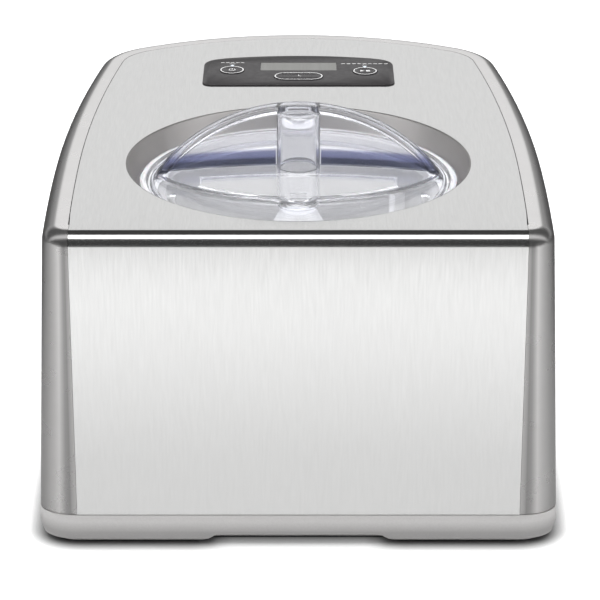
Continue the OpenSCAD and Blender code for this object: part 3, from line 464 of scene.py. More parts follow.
# ---------------------------------------------------------------- Housing
# One silver-painted moulding for the sides and the back. It has a flat rim beside the steel, a rounded
# shoulder and a wall that leans out as it goes down, with cooling slots through the wall low at the sides
# and the back.
rim_width, shoulder_radius = 0.0075, 0.0087
wall_foot = edge_width + flare
wall_top_z = top_z - shoulder_radius
wall_foot_z = shell_low[2]
wall_thickness = 0.0025
slot_bottoms = [0.050 + 0.010 * i for i in range(9)]
slot_height = 0.004


def wall_out(z):
    return edge_width + flare * (wall_top_z - z) / (wall_top_z - wall_foot_z)


wall_levels = [(lip, top_z - 0.0003), (lip + 0.0003, top_z), (0.004, top_z), (rim_width - 0.0003, top_z)]
wall_levels += [(rim_width + shoulder_radius * math.sin(a), top_z - shoulder_radius * (1 - math.cos(a)))
                for a in (math.radians(90 * i / 14) for i in range(1, 15))]
lean_heights = [0.185, 0.170, 0.150] + [z for low in reversed(slot_bottoms)
                                        for z in (low + slot_height, low)]
lean_heights += [0.040, 0.030, wall_foot_z + 0.0005]
wall_levels += [(wall_out(z), z) for z in lean_heights]
wall_levels += [(wall_out(wall_foot_z) - 0.0004, wall_foot_z)]
shell_stations = round_the_body(corner_stations + seam_stations)
shell_rings = [[outside(s, u, min(u, edge_width), z, side) for u, z in wall_levels]
               for s, side in shell_stations]
shell_vertices, shell_faces = join_rings(shell_rings)


def is_vent(face):
    """A quad inside one of the cooling slots."""
    corners = [Vector(shell_vertices[i]) for i in face]
    middle = sum(corners, Vector()) / 4
    in_row = any(low < middle.z < low + slot_height for low in slot_bottoms)
    at_side = abs(middle.x) > 0.1 and vent_start < middle.y - front_y < vent_end
    at_back = abs(middle.x) < vent_half and middle.y > 0.15
    return in_row and (at_side or at_back)


shell_faces = [face for face in shell_faces if not is_vent(face)]
housing = add_object("housing_moulding", mesh_of("housing_moulding", shell_vertices, shell_faces))
tidy_mesh(housing.data)
give_wall(housing, wall_thickness)
smooth(housing, 30)
silver, tree, shader = new_material("silver_paint", (0.50, 0.495, 0.485), 0.26, 0.85)
flakes = placed_noise(tree, (240, 240, 240), (0.0, 1.0), 2.0)
sideways = sum_of(tree, "ABSOLUTE", part_of(tree, "Normal", "X"))
upward = part_of(tree, "Normal", "Z")
# Painted highlight and shade by the way each face turns: a light ridge down the rounded front corners and a
# bright flat rim on top, with darker shoulders and side walls
painted_side_light = warm_tone(tree, sideways, [(0.0, 0.52), (0.04, 0.48), (0.12, 0.28), (0.20, 0.33), (0.34, 0.62),
                                   (0.48, 0.50), (0.70, 0.37), (0.93, 0.30), (1.0, 0.38)])
painted_top_light = warm_tone(tree, upward, [(0.0, 0.30), (0.35, 0.24), (0.80, 0.25), (0.97, 0.28), (0.992, 0.45),
                                    (0.999, 0.90)])
painted_facing_light = blended(tree, "MIX", share_of(tree, upward, 0.12, 0.40), painted_side_light, painted_top_light)
speckles_and_painted_light = blended(tree, "MULTIPLY", 0.5, painted_facing_light, warm_tone(tree, flakes, [(0.0, 0.97), (1.0, 1.0)]))
tree.links.new(speckles_and_painted_light, shader.inputs["Base Color"])
tree.links.new(placed_noise(tree, (60, 60, 60), (0.27, 0.29)), shader.inputs["Roughness"])
bump(tree, shader, placed_noise(tree, (120, 120, 120), (0.0, 1.0), 0.0), 2e-7)
housing.data.materials.append(silver)
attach(housing, "housing")
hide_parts("housing_shell")

# ---------------------------------------------------------------- Base
# A grey moulded tray that everything stands in. Its wall stands a little proud of the housing, narrows
# towards the bottom, and has a finger notch under the front edge.
base_stations = round_the_body(corner_stations + seam_stations)
base_z, tray_top = base_low[2], base_high[2]
tray_floor = 0.006
notch_top, notch_depth, notch_half, notch_foot_half = 0.0075, 0.012, 0.050, 0.0595
base_profile = [(edge_width - 0.001, edge_width - 0.0045, base_z)]
base_profile += [(wall_foot - 0.002 + 0.0003, edge_width - 0.0005, 0.0038),
                 (wall_foot - 0.0012, edge_width + 0.0008, 0.0058),
                 (wall_foot - 0.0002, edge_width + 0.0018, 0.0085),
                 (wall_foot + lip, edge_width + 0.0023, 0.0108),
                 (wall_foot + lip, edge_width + 0.0023, 0.0182)]
base_profile += [(wall_foot + lip - 0.0003, edge_width + 0.0020, 0.0189),
                 (wall_foot - 0.0002, edge_width + 0.0016, tray_top),
                 (wall_foot - 0.003, edge_width - 0.0014, tray_top),
                 (wall_foot - 0.003, edge_width - 0.0014, tray_floor)]
base_rings = [[outside(s, u, front_u, z, side) for u, front_u, z in base_profile]
              for s, side in base_stations]
base_vertices, base_faces = join_rings(base_rings, closed=True)
width = len(base_profile)
base_faces.append(tuple(i * width for i in range(len(base_rings))))
base_faces.append(tuple(i * width + width - 1 for i in reversed(range(len(base_rings)))))
base = add_object("base_moulding", mesh_of("base_moulding", base_vertices, base_faces))
tidy_mesh(base.data)


def cut(target, cutter, operation="DIFFERENCE"):
    step = target.modifiers.new("cut", "BOOLEAN")
    step.operation = operation
    step.object = cutter
    step.solver = "EXACT"
    settle(target)
    bpy.data.objects.remove(cutter)


def prism(name, outline, low, high, axis=1):
    """A straight prism: the outline lies across the axis and runs from low to high along it."""
    def place(point, height):
        spot = list(point)
        spot.insert(axis, height)
        return tuple(spot)
    count = len(outline)
    points = [place(p, low) for p in outline] + [place(p, high) for p in outline]
    sides = [(i, (i + 1) % count, count + (i + 1) % count, count + i) for i in range(count)]
    ends = [tuple(range(count)), tuple(range(count, 2 * count))]
    made = add_object(name, mesh_of(name, points, sides + ends))
    tidy_mesh(made.data)
    return made


notch = prism("notch_cutter", [(-notch_foot_half, base_z - 0.001), (notch_foot_half, base_z - 0.001),
                               (notch_half + 0.0006, notch_top - 0.0006), (notch_half - 0.0012, notch_top),
                               (-notch_half + 0.0012, notch_top),
                               (-notch_half - 0.0006, notch_top - 0.0006)],
              base_low[1] - 0.001, base_low[1] + notch_depth)
cut(base, notch)
smooth(base, 30)
grey, tree, shader = new_material("base_grey", (0.42, 0.42, 0.415), 0.42, 0.35)
grain = placed_noise(tree, (1200, 1200, 1200), (0.0, 1.0), 2.0)
rise = share_of(tree, part_of(tree, "Object", "Z"), base_low[2], seam_z)
# Painted light and shade by height: pale at the foot, darkest a third of the way up and lighter again
# towards the top
painted_light_by_height = warm_tone(tree, rise, [(0.0, 0.95), (0.05, 0.80), (0.10, 0.55), (0.28, 0.43), (0.42, 0.42),
                                   (0.62, 0.53), (0.80, 0.63), (1.0, 0.66)])
grain_and_painted_light = blended(tree, "MULTIPLY", 0.6, painted_light_by_height, warm_tone(tree, grain, [(0.0, 0.9), (1.0, 1.0)]))
tree.links.new(grain_and_painted_light, shader.inputs["Base Color"])
bump(tree, shader, grain, 1e-5)
base.data.materials.append(grey)
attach(base, "housing")
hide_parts("base_tray")

# ---------------------------------------------------------------- Control panel
# A dark moulded plate with a bowed back edge lies on the steel behind the dish. Three caps and a display
# window sit in holes in it, and pale printed marks stand over the two lamps.
panel_low, panel_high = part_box("control_panel")
window_low, window_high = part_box("display_window")
panel_top = panel_high[2]
panel_half = panel_high[0]
panel_front, panel_back = panel_low[1], panel_high[1]
cap_gap = 0.0003
print_rise = 0.00006
round_nodes = ("power_button", "start_stop_button")
cap_flange = 0.0012


def circle(x, y, radius, count=64):
    return [(x + radius * math.cos(2 * math.pi * i / count), y + radius * math.sin(2 * math.pi * i / count))
            for i in range(count)]


def stadium(x, y, half_width, half_height, count=32):
    points = []
    for side, start in ((1, -90), (-1, 90)):
        for i in range(count + 1):
            a = math.radians(start + 180 * i / count)
            points.append((x + side * (half_width - half_height) + half_height * math.cos(a),
                           y + half_height * math.sin(a)))
    return points


def hull(points):
    return [points[i] for i in geometry.convex_hull_2d(points)]


def rounded_panel(inset=0.0):
    front_corner, rear_corner, bow = 0.006, 0.014, 0.010
    bow_radius = (panel_half ** 2 + bow ** 2) / (2 * bow)
    points = []
    for side in (-1, 1):
        points += circle(side * (panel_half - front_corner), panel_front + front_corner,
                         front_corner - inset, 48)
        points += circle(side * (panel_half - rear_corner), panel_back - bow - rear_corner + 0.003,
                         rear_corner - inset, 64)
    reach = panel_half - rear_corner
    for i in range(41):
        x = -reach + 2 * reach * i / 40
        points.append((x, panel_back - bow_radius + math.sqrt((bow_radius - inset) ** 2 - x * x)))
    return hull(points)


def slab(outline, low, high, edge=0.0):
    """A flat plate over a convex or stadium outline, its top edge chamfered by edge."""
    count = len(outline)
    middle = Vector((sum(p[0] for p in outline) / count, sum(p[1] for p in outline) / count))
    rings = [[(*p, low) for p in outline], [(*p, high - edge) for p in outline]]
    if edge:
        for share, drop in ((0.3, 0.3), (1.0, 0.0)):
            inner = []
            for p in outline:
                inwards = (middle - Vector(p)).normalized()
                inner.append((p[0] + inwards.x * edge * share, p[1] + inwards.y * edge * share,
                              high - edge * drop))
            rings.append(inner)
    points = [p for r in rings for p in r]
    faces = []
    for i in range(len(rings) - 1):
        for j in range(count):
            k = (j + 1) % count
            faces.append((i * count + j, i * count + k, (i + 1) * count + k, (i + 1) * count + j))
    faces.append(tuple(reversed(range(count))))
    faces.append(tuple(range((len(rings) - 1) * count, len(rings) * count)))
    return points, faces


def band(outer, inner, low, high):
    """A closed flat ring between two outlines of equally many points."""
    count = len(outer)
    rows = [[(*o, low), (*o, high), (*i, high), (*i, low)] for o, i in zip(outer, inner)]
    points = [p for row in rows for p in row]
    faces = []
    for i in range(count):
        k = (i + 1) % count
        for j in range(4):
            m = (j + 1) % 4
            faces.append((i * 4 + j, k * 4 + j, k * 4 + m, i * 4 + m))
    return points, faces


def built(name, pieces, materials):
    """One object from (points, faces, material number) pieces."""
    points, faces, slots = [], [], []
    for piece_points, piece_faces, slot in pieces:
        add_part(points, faces, piece_points, piece_faces)
        slots += [slot] * len(piece_faces)
    mesh = mesh_of(name, points, faces)
    made = add_object(name, mesh)
    for material in materials:
        mesh.materials.append(material)
    for face, slot in zip(mesh.polygons, slots):
        face.material_index = slot
    work = bmesh.new()
    work.from_mesh(mesh)
    bmesh.ops.recalc_face_normals(work, faces=work.faces)
    work.to_mesh(mesh)
    work.free()
    return made


def bar(x, y, half_width, half_height):
    return [(x - half_width, y - half_height), (x + half_width, y - half_height),
            (x + half_width, y + half_height), (x - half_width, y + half_height)]


def box_middle(node):
    low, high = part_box(node)
    return (low[0] + high[0]) / 2, (low[1] + high[1]) / 2


panel_black, tree, shader = new_material("panel_black", (0.038, 0.036, 0.037), 0.32)
shader.inputs["Specular IOR Level"].default_value = 0.3
speckle = placed_noise(tree, (1800, 1800, 1800), (0.0, 1.0), 2.0)
tint(tree, shader, speckle, (0.032, 0.030, 0.031), (0.044, 0.041, 0.043))
tree.links.new(placed_noise(tree, (300, 300, 300), (0.28, 0.38)), shader.inputs["Roughness"])
bump(tree, shader, speckle, 8e-6)
mark_white, tree, shader = new_material("printed_marks", (0.82, 0.82, 0.82), 0.5)
tint(tree, shader, placed_noise(tree, (900, 900, 900), (0.0, 1.0), 2.0), (0.70, 0.70, 0.70),
     (0.90, 0.90, 0.90))

# The dashes over each lamp: how far they reach to either side
mark_pieces = []
for node, reach, count in (("power_lamp", 0.0085, 5), ("start_stop_lamp", 0.0165, 9)):
    x, y = box_middle(node)
    for i in range(count):
        spot = x - reach + 2 * reach * (i + 0.5) / count
        mark_pieces.append((*slab(bar(spot, y + 0.0062, reach / count * 0.72, 0.00042),
                                  panel_top - 0.0001, panel_top + print_rise), 0))
    tip = [(x, y + 0.0018), (x - 0.0022, y + 0.0036), (x - 0.0014, y + 0.0036), (x, y + 0.0025),
           (x + 0.0014, y + 0.0036), (x + 0.0022, y + 0.0036)]
    mark_pieces.append((*slab(tip, panel_top - 0.0001, panel_top + print_rise), 0))
marks = built("panel_marks", mark_pieces, [mark_white])
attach(marks, "housing")

panel = built("panel_plate", [(*slab(rounded_panel(), top_z + 0.00002, panel_top, 0.0005), 0)],
              [panel_black])
panel_cutters = []
for node in round_nodes:
    low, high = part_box(node)
    panel_cutters.append(circle(*box_middle(node), (high[0] - low[0]) / 2 - cap_flange + cap_gap, 96))
timer_low, timer_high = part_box("timer_button")
timer_half = ((timer_high[0] - timer_low[0]) / 2 - cap_flange,
              (timer_high[1] - timer_low[1]) / 2 - cap_flange)
panel_cutters.append(stadium(*box_middle("timer_button"), timer_half[0] + cap_gap, timer_half[1] + cap_gap))
panel_cutters.append(bar(*box_middle("display_window"), (window_high[0] - window_low[0]) / 2 + 0.0001,
                         (window_high[1] - window_low[1]) / 2 + 0.0001))
for node in ("power_lamp", "start_stop_lamp"):
    panel_cutters.append(circle(*box_middle(node), 0.0016, 32))
for outline in panel_cutters:
    cut(panel, prism("panel_cutter", outline, top_z - 0.002, panel_top + 0.002, axis=2))
smooth(panel, 30)
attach(panel, "housing")
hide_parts("control_panel")

# ---------------------------------------------------------------- Buttons
# Two round caps and one long one, each a hard plastic cap pressed down on a switch. A pale line is
# printed round the edge of each with a plain mark in the middle: a power sign, a clock, and a triangle
# beside a square.
cap_black, tree, shader = new_material("cap_black", (0.036, 0.034, 0.036), 0.27)
shader.inputs["Specular IOR Level"].default_value = 0.3
tint(tree, shader, placed_noise(tree, (1500, 1500, 1500), (0.0, 1.0), 2.0), (0.030, 0.028, 0.030),
     (0.042, 0.039, 0.042))
tree.links.new(placed_noise(tree, (260, 260, 260), (0.23, 0.33)), shader.inputs["Roughness"])
line_width = 0.0007


def open_ring(x, y, outer, inner, first, last, count=24):
    """Outline of a part of a ring."""
    steps = [math.radians(first + (last - first) * i / count) for i in range(count + 1)]
    return ([turn((x, y), outer, a) for a in steps] + [turn((x, y), inner, a) for a in reversed(steps)])


def power_sign(x, y):
    return [open_ring(x, y, 0.0024, 0.0018, 120, 420), bar(x, y + 0.0018, 0.0003, 0.0014)]


def clock_sign(x, y):
    return [bar(x, y + 0.0011, 0.00025, 0.0013), bar(x + 0.0008, y, 0.0010, 0.00025)]


def play_sign(x, y):
    return [[(x - 0.0032, y - 0.0018), (x - 0.0004, y), (x - 0.0032, y + 0.0018)],
            bar(x + 0.0020, y, 0.0013, 0.0013)]


def make_cap(name, node, body, outline, inset_outline, line_inner, signs):
    low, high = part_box(node)
    top = high[2]
    pieces = [(*slab(outline, low[2] + 0.002, top - print_rise, 0.00035), 0)]
    pieces.append((*band(inset_outline, line_inner, top - 0.0003, top), 1))
    for sign in signs:
        pieces.append((*slab(sign, top - 0.0003, top), 1))
    made = built(name, pieces, [cap_black, mark_white])
    smooth(made, 30)
    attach(made, body)
    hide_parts(node)


for node, body, sign in (("power_button", "power_key", power_sign),
                         ("start_stop_button", "start_stop_key", play_sign)):
    low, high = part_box(node)
    x, y = box_middle(node)
    cap_radius = (high[0] - low[0]) / 2 - cap_flange
    make_cap(node + "_cap", node, body, circle(x, y, cap_radius, 96), circle(x, y, cap_radius - 0.0004, 96),
             circle(x, y, cap_radius - 0.0004 - line_width, 96), sign(x, y))
x, y = box_middle("timer_button")
clock = clock_sign(x, y)
make_cap("timer_cap", "timer_button", "timer_key", stadium(x, y, *timer_half),
         stadium(x, y, timer_half[0] - 0.0004, timer_half[1] - 0.0004),
         stadium(x, y, timer_half[0] - 0.0004 - line_width, timer_half[1] - 0.0004 - line_width), clock)

# ---------------------------------------------------------------- Display window and lamps
# A clear acrylic pane over a liquid crystal display, and two small clear lamps that show through the plate.
# The pane is a press fit in the plate, and the lamps stand on the circuit board below.
display_grey, tree, shader = new_material("display_grey", (0.36, 0.37, 0.35), 0.35)
tint(tree, shader, placed_noise(tree, (400, 8, 8), (0.0, 1.0), 2.0), (0.165, 0.165, 0.155),
     (0.195, 0.195, 0.185))
pane_outline = bar(*box_middle("display_window"), (window_high[0] - window_low[0]) / 2,
                   (window_high[1] - window_low[1]) / 2)
pane = built("display_pane",
             [(*slab(pane_outline, window_low[2] + 0.0001, panel_top - 0.00005, 0.0002), 0)], [display_grey])
shader.inputs["Coat Weight"].default_value = 0.3
shader.inputs["Coat Roughness"].default_value = 0.05
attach(pane, "housing")
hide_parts("display_window")
lamp_lens, tree, shader = new_material("lamp_lens", (0.75, 0.85, 0.95), 0.2)
tint(tree, shader, placed_noise(tree, (900, 900, 900), (0.0, 1.0), 2.0), (0.70, 0.80, 0.92),
     (0.80, 0.88, 0.96))
shader.inputs["Emission Color"].default_value = (0.8, 0.9, 1, 1)
shader.inputs["Emission Strength"].default_value = 0.25
for node in ("power_lamp", "start_stop_lamp"):
    x, y = box_middle(node)
    low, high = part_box(node)
    points, faces = slab(circle(x, y, 0.0014, 32), low[2], high[2] - 0.00005, 0.0004)
    lens = built(node + "_lens", [(points, faces, 0)], [lamp_lens])
    smooth(lens, 40)
    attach(lens, "housing")
    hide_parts(node)

# ---------------------------------------------------------------- Lid
# A clear plastic lid moulded in one piece: a shallow dome with a raised middle, a rim and a skirt, an
# arched rail with a thin web below it as the handle, and a tube in the middle that steadies the paddle.
# Three lugs on the skirt lock it.
bowl_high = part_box("mixing_bowl")[1]
collar_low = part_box("bowl_collar")[0]
skirt_low = lid_low[2]
arch_top = lid_high[2]
rim_z = ledge_z + 0.0036
crown, dome_radius, lid_wall = 0.0056, 0.092, 0.0025
skirt_radius, skirt_wall = 0.092, 0.002
rail_width, rail_height, web = 0.010, 0.005, 0.003
tube_radius, tube_wall = 0.0135, 0.002
arch_half = 0.0905
arch_height = arch_top - rim_z
arch_radius = (arch_half ** 2 + arch_height ** 2) / (2 * arch_height)
arch_centre = arch_top - arch_radius
skirt_bottom = collar_low[2] + 0.0025


def dome_z(r):
    return rim_z + crown - crown * r * r / dome_radius ** 2


def lathe(name, profile, count=144, closed=False):
    """Turns a profile of (radius, height) round the dish's centre."""
    rows = [[(r * math.cos(a), dish_y + r * math.sin(a), z) for r, z in profile + profile[:1] * closed]
            for a in (2 * math.pi * i / count for i in range(count))]
    made = add_object(name, mesh_of(name, *join_rings(rows, closed=True)))
    tidy_mesh(made.data, merge=2e-6)
    return made


over = [(dome_radius * i / 24, dome_z(dome_radius * i / 24)) for i in range(24)]
under = [(r, dome_z(r) - lid_wall) for r in (0.0895 * i / 24 for i in range(24, -1, -1))]
lid_profile = over + [
    (0.0914, rim_z + 0.0001), (0.0919, rim_z - 0.0003), (0.0922, rim_z - 0.0012), (0.0926, rim_z - 0.0016),
    (0.0936, rim_z - 0.0016), (0.0941, rim_z - 0.0012), (0.0945, rim_z - 0.0002), (0.0949, rim_z + 0.0002),
    (0.0956, rim_z + 0.0002), (0.0984, rim_z - 0.0001), (0.0990, rim_z - 0.0004), (0.0993, rim_z - 0.0010),
    (0.0993, ledge_z + 0.0019), (0.0989, ledge_z + 0.0015), (skirt_radius + 0.0004, ledge_z + 0.0015),
    (skirt_radius, ledge_z + 0.0011), (skirt_radius, skirt_bottom + 0.0003),
    (skirt_radius - 0.0003, skirt_bottom), (skirt_radius - skirt_wall + 0.0003, skirt_bottom),
    (skirt_radius - skirt_wall, skirt_bottom + 0.0003),
    (skirt_radius - skirt_wall, rim_z - 0.0026)] + under
lid = lathe("clear_lid", lid_profile, 180)


def swept_arc(name, section, steps, first, last):
    """Sweeps a closed section of (out from the arch's circle, across) along the arch."""
    rings = []
    for i in range(steps + 1):
        a = math.radians(first + (last - first) * i / steps)
        rings.append([((arch_radius + out) * math.cos(a), dish_y + across,
                       arch_centre + (arch_radius + out) * math.sin(a))
                      for out, across in section])
    points = [p for r in rings for p in r]
    count = len(section)
    faces = [(i * count + j, i * count + (j + 1) % count, (i + 1) * count + (j + 1) % count,
              (i + 1) * count + j)
             for i in range(steps) for j in range(count)]
    faces += [tuple(range(count)), tuple(range(steps * count, (steps + 1) * count))]
    made = add_object(name, mesh_of(name, points, faces))
    tidy_mesh(made.data)
    return made


# The middle of the dome stands up inside two arcs, with a round bulge in front of its centre
lens_rise, lens_half, lens_tip = 0.003, 0.058, 0.090
lens_centre = (lens_tip ** 2 - lens_half ** 2) / (2 * lens_half)
lens_radius = lens_half + lens_centre
bulge_y, bulge_radius = 0.007 - lens_half, 0.0135


def lens_reach(angle, inset):
    """Distance from the middle of the lid to the edge of its raised middle."""
    side, ahead_by = math.cos(angle), math.sin(angle)
    radius = lens_radius - inset
    reach = -abs(ahead_by) * lens_centre + math.sqrt(radius ** 2 - (lens_centre * side) ** 2)
    room = (bulge_radius - inset) ** 2 - (bulge_y * side) ** 2
    return max(reach, ahead_by * bulge_y + math.sqrt(room)) if ahead_by < 0 and room > 0 else reach


def lens_solid(name, inset, low, high, edge):
    """The raised middle's plan from low to high over the dome, its upper edge rounded by edge."""
    angles = [2 * math.pi * i / 360 for i in range(360)]
    levels = [(inset, low, f) for f in (0, 0.3, 0.6, 0.85, 1)]
    levels += [(inset + edge * (1 - math.cos(a)), high - edge * (1 - math.sin(a)), 1)
               for a in (math.radians(90 * i / 6) for i in range(7))] if edge else [(inset, high, 1)]
    last_inset = inset + edge
    levels += [(last_inset, high, f) for f in (0.95, 0.9, 0.8, 0.7, 0.6, 0.5, 0.4, 0.3, 0.2, 0.1, 0)]
    rows = []
    for a in angles:
        row = []
        for step_inset, rise, share in levels:
            r = lens_reach(a, step_inset) * share
            row.append((r * math.cos(a), dish_y + r * math.sin(a), dome_z(r) + rise))
        rows.append(row)
    made = add_object(name, mesh_of(name, *join_rings(rows, closed=True)))
    tidy_mesh(made.data, merge=2e-6)
    return made


half = rail_width / 2
rounding = 0.0011
rail_section = []
for corner_out, corner_across, start in ((-rounding, half - rounding, 0),
                                         (-rail_height + rounding, half - rounding, 90),
                                         (-rail_height + rounding, -half + rounding, 180),
                                         (-rounding, -half + rounding, 270)):
    for i in range(5):
        a = math.radians(start + 90 * i / 4)
        rail_section.append((corner_out + rounding * math.cos(a), corner_across + rounding * math.sin(a)))
handle = swept_arc("handle", rail_section, 96, 30, 150)
web_outline = [turn((0, arch_centre), arch_radius - rail_height + 0.001, math.radians(30 + i))
               for i in range(121)]
cut(handle, prism("web", web_outline, dish_y - web / 2, dish_y + web / 2), "UNION")
above_profile = [(dome_radius * i / 12, dome_z(dome_radius * i / 12) - 0.001) for i in range(13)]
cut(handle, lathe("over_dome", above_profile + [(dome_radius, arch_top + 0.01), (0, arch_top + 0.01)], 96),
    "INTERSECT")
tube_bottom, tube_top = skirt_low, arch_top - rail_height + 0.001
tube_profile = [(0, tube_top), (tube_radius - 0.0008, tube_top), (tube_radius - 0.0002, tube_top - 0.0003),
                (tube_radius, tube_top - 0.0010), (tube_radius, tube_bottom + 0.0003),
                (tube_radius - 0.0003, tube_bottom), (0, tube_bottom)]
cut(handle, lens_solid("arch_foot", lid_wall, -0.020, lens_rise - 0.001, 0))
cut(lid, lens_solid("lens", 0, -0.001, lens_rise, 0.0022), "UNION")
cut(lid, lens_solid("lens_hollow", lid_wall, -lid_wall - 0.002, lens_rise - lid_wall, 0))
cut(lid, handle, "UNION")
cut(lid, lathe("tube", tube_profile, 96), "UNION")
bore = tube_radius - tube_wall
cut(lid, lathe("bore", [(0, tube_top - 0.002), (bore - 0.001, tube_top - 0.002), (bore, tube_top - 0.003),
                        (bore, tube_bottom - 0.001), (0, tube_bottom - 0.001)], 96))
spout_half, spout_rear, spout_edge = 0.061, dish_y - 0.015, 0.0045


def spout_outline(inset):
    """The spout's plan: a straight rear edge and a front that follows the edge of the raised middle."""
    radius = lens_radius - spout_edge - inset
    small = bulge_radius - spout_edge - inset
    reach = spout_half - inset

    def front_at(x):
        y = dish_y + lens_centre - math.sqrt(radius ** 2 - x * x)
        return min(y, dish_y + bulge_y - math.sqrt(small ** 2 - x * x)) if abs(x) < small else y
    xs = sorted({-reach + 2 * reach * i / 60 for i in range(61)} |
                {small * math.sin(math.pi * i / 32) for i in range(-16, 17)})
    return [(x, front_at(x)) for x in xs] + [(reach, spout_rear - inset), (-reach, spout_rear - inset)]


def above_dome(target, drop, extra):
    """Keeps what is within the layer from extra above the dome's upper face to drop below it."""
    layer = [(dome_radius * i / 24, dome_z(dome_radius * i / 24)) for i in range(25)]
    top_edge = [(r, z + extra) for r, z in layer]
    low_edge = [(r, z - drop) for r, z in reversed(layer)]
    cut(target, lathe("layer", top_edge + low_edge, 120), "INTERSECT")


opening = prism("spout_opening", spout_outline(0.002), rim_z - 0.006, rim_z + 0.014, axis=2)
rebate = prism("spout_rebate", spout_outline(0.0), rim_z - 0.012, rim_z + 0.028, axis=2)
above_dome(rebate, lid_wall / 2 - lens_rise, lens_rise + 0.003)
cut(lid, rebate)
cut(lid, opening)
lug_radius = 0.0944
for k in range(3):
    first = math.radians(90 + 120 * k - 5)
    steps = [first + math.radians(10 * i / 8) for i in range(9)]
    outline = [turn((0, dish_y), lug_radius, a) for a in steps]
    outline += [turn((0, dish_y), skirt_radius - 0.001, a) for a in reversed(steps)]
    cut(lid, prism("lug", outline, skirt_bottom + 0.0001, skirt_bottom + 0.0030, axis=2), "UNION")
smooth(lid, 28)


def clear_plastic(name, clearness, painted_foot_bands):
    """Clear moulded plastic. With the last flag on, the handle's foot, where it meets the dome, gets a
    painted dark band of shade and a painted violet band of light.
    """
    made, tree, shader = new_material(name, (0.97, 0.97, 0.98), 0.02)
    shader.inputs["Transmission Weight"].default_value = clearness
    shader.inputs["IOR"].default_value = 1.49
    if painted_foot_bands:
        x = part_of(tree, "Object", "X")
        sag = sum_of(tree, "MULTIPLY", sum_of(tree, "MULTIPLY", x, x), crown / dome_radius ** 2)
        over_crown = sum_of(tree, "SUBTRACT", part_of(tree, "Object", "Z"), rim_z + crown + lens_rise)
        height = sum_of(tree, "DIVIDE", sum_of(tree, "ADD", over_crown, sag), 0.012)
        beside = sum_of(tree, "GREATER_THAN", sum_of(tree, "ABSOLUTE", x), tube_radius + 0.0005)
        # Painted shade and painted violet light, up from the dome over the foot's 12 mm
        painted_band_stops = [(0.0, (0.97, 0.97, 0.98)), (0.03, (0.97, 0.97, 0.98)), (0.06, (0.10, 0.11, 0.16)),
                      (0.36, (0.12, 0.13, 0.20)), (0.44, (0.26, 0.28, 0.46)), (0.74, (0.34, 0.36, 0.54)),
                      (0.90, (0.93, 0.93, 0.96)), (1.0, (0.97, 0.97, 0.98))]
        foot = ramp_of(tree, sum_of(tree, "MULTIPLY", height, beside), painted_band_stops)
        tree.links.new(foot, shader.inputs["Base Color"])
    else:
        cloud = placed_noise(tree, (60, 60, 60), (0.0, 1.0), 2.0)
        tint(tree, shader, cloud, (0.96, 0.96, 0.965), (0.985, 0.985, 0.99))
    tree.links.new(placed_noise(tree, (500, 500, 500), (0.012, 0.035)), shader.inputs["Roughness"])
    see_through = tree.nodes.new("ShaderNodeBsdfTransparent")
    see_through.inputs["Color"].default_value = (0.94, 0.945, 0.96, 1)
    path = tree.nodes.new("ShaderNodeLightPath")
    shade = tree.nodes.new("ShaderNodeMixShader")
    out = tree.nodes["Material Output"]
    tree.links.new(path.outputs["Is Shadow Ray"], shade.inputs[0])
    tree.links.new(shader.outputs[0], shade.inputs[1])
    tree.links.new(see_through.outputs[0], shade.inputs[2])
    tree.links.new(shade.outputs[0], out.inputs["Surface"])
    soak = tree.nodes.new("ShaderNodeVolumeAbsorption")
    soak.inputs["Color"].default_value = (0.55, 0.60, 0.86, 1)
    soak.inputs["Density"].default_value = 12
    tree.links.new(soak.outputs[0], out.inputs["Volume"])
    return made


clear = clear_plastic("clear_plastic", 0.95, True)
lid.data.materials.clear()
lid.data.materials.append(clear)
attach(lid, "lid")
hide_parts("lid")

# ---------------------------------------------------------------- Spout cover
# A loose piece of the same clear plastic that closes the spout. It drops into a rebate, flush with the
# dome, and has a short grip along its front edge.
cover = prism("clear_cover", spout_outline(0.0004), rim_z - 0.012, rim_z + 0.028, axis=2)
above_dome(cover, lid_wall / 2 - lens_rise - 0.00005, lens_rise)
grip_y = dish_y + bulge_y - bulge_radius + spout_edge + 0.003
grip_z = dome_z(bulge_y) + lens_rise
grip = prism("grip", bar(0, grip_y + 0.001, 0.005, 0.001), grip_z - 0.0006, grip_z + 0.003, axis=2)
cut(cover, grip, "UNION")
smooth(cover, 28)
cover_plastic = clear_plastic("cover_plastic", 0.88, False)
cover.data.materials.clear()
cover.data.materials.append(cover_plastic)
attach(cover, "spout_cover")
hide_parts("spout_cover")


def dress(material, *names):
    """Gives CAD nodes a finish."""
    for name in names:
        shown[name].data.materials.clear()
        shown[name].data.materials.append(material)
        smooth(shown[name], 32)


def moulded(name, dark, light, roughness, grain=900, lift=6e-6, metal=0.0):
    """A finish with a fine grain and slightly uneven gloss."""
    made, tree, shader = new_material(name, light, roughness, metal)
    mottle = placed_noise(tree, (grain, grain, grain), (0.0, 1.0), 3.0)
    tint(tree, shader, mottle, dark, light)
    gloss = placed_noise(tree, (grain / 6, grain / 6, grain / 6), (roughness - 0.05, roughness + 0.06))
    tree.links.new(gloss, shader.inputs["Roughness"])
    bump(tree, shader, mottle, lift)
    return made, shader


silicone, shader = moulded("silicone", (0.62, 0.62, 0.62), (0.74, 0.74, 0.74), 0.5)
shader.inputs["Subsurface Weight"].default_value = 0.2
shader.inputs["Subsurface Scale"].default_value = 0.002
dress(silicone, "lid_seal")
white_plastic, shader = moulded("white_plastic", (0.76, 0.76, 0.75), (0.84, 0.84, 0.83), 0.38)
dress(white_plastic, "bowl_collar")

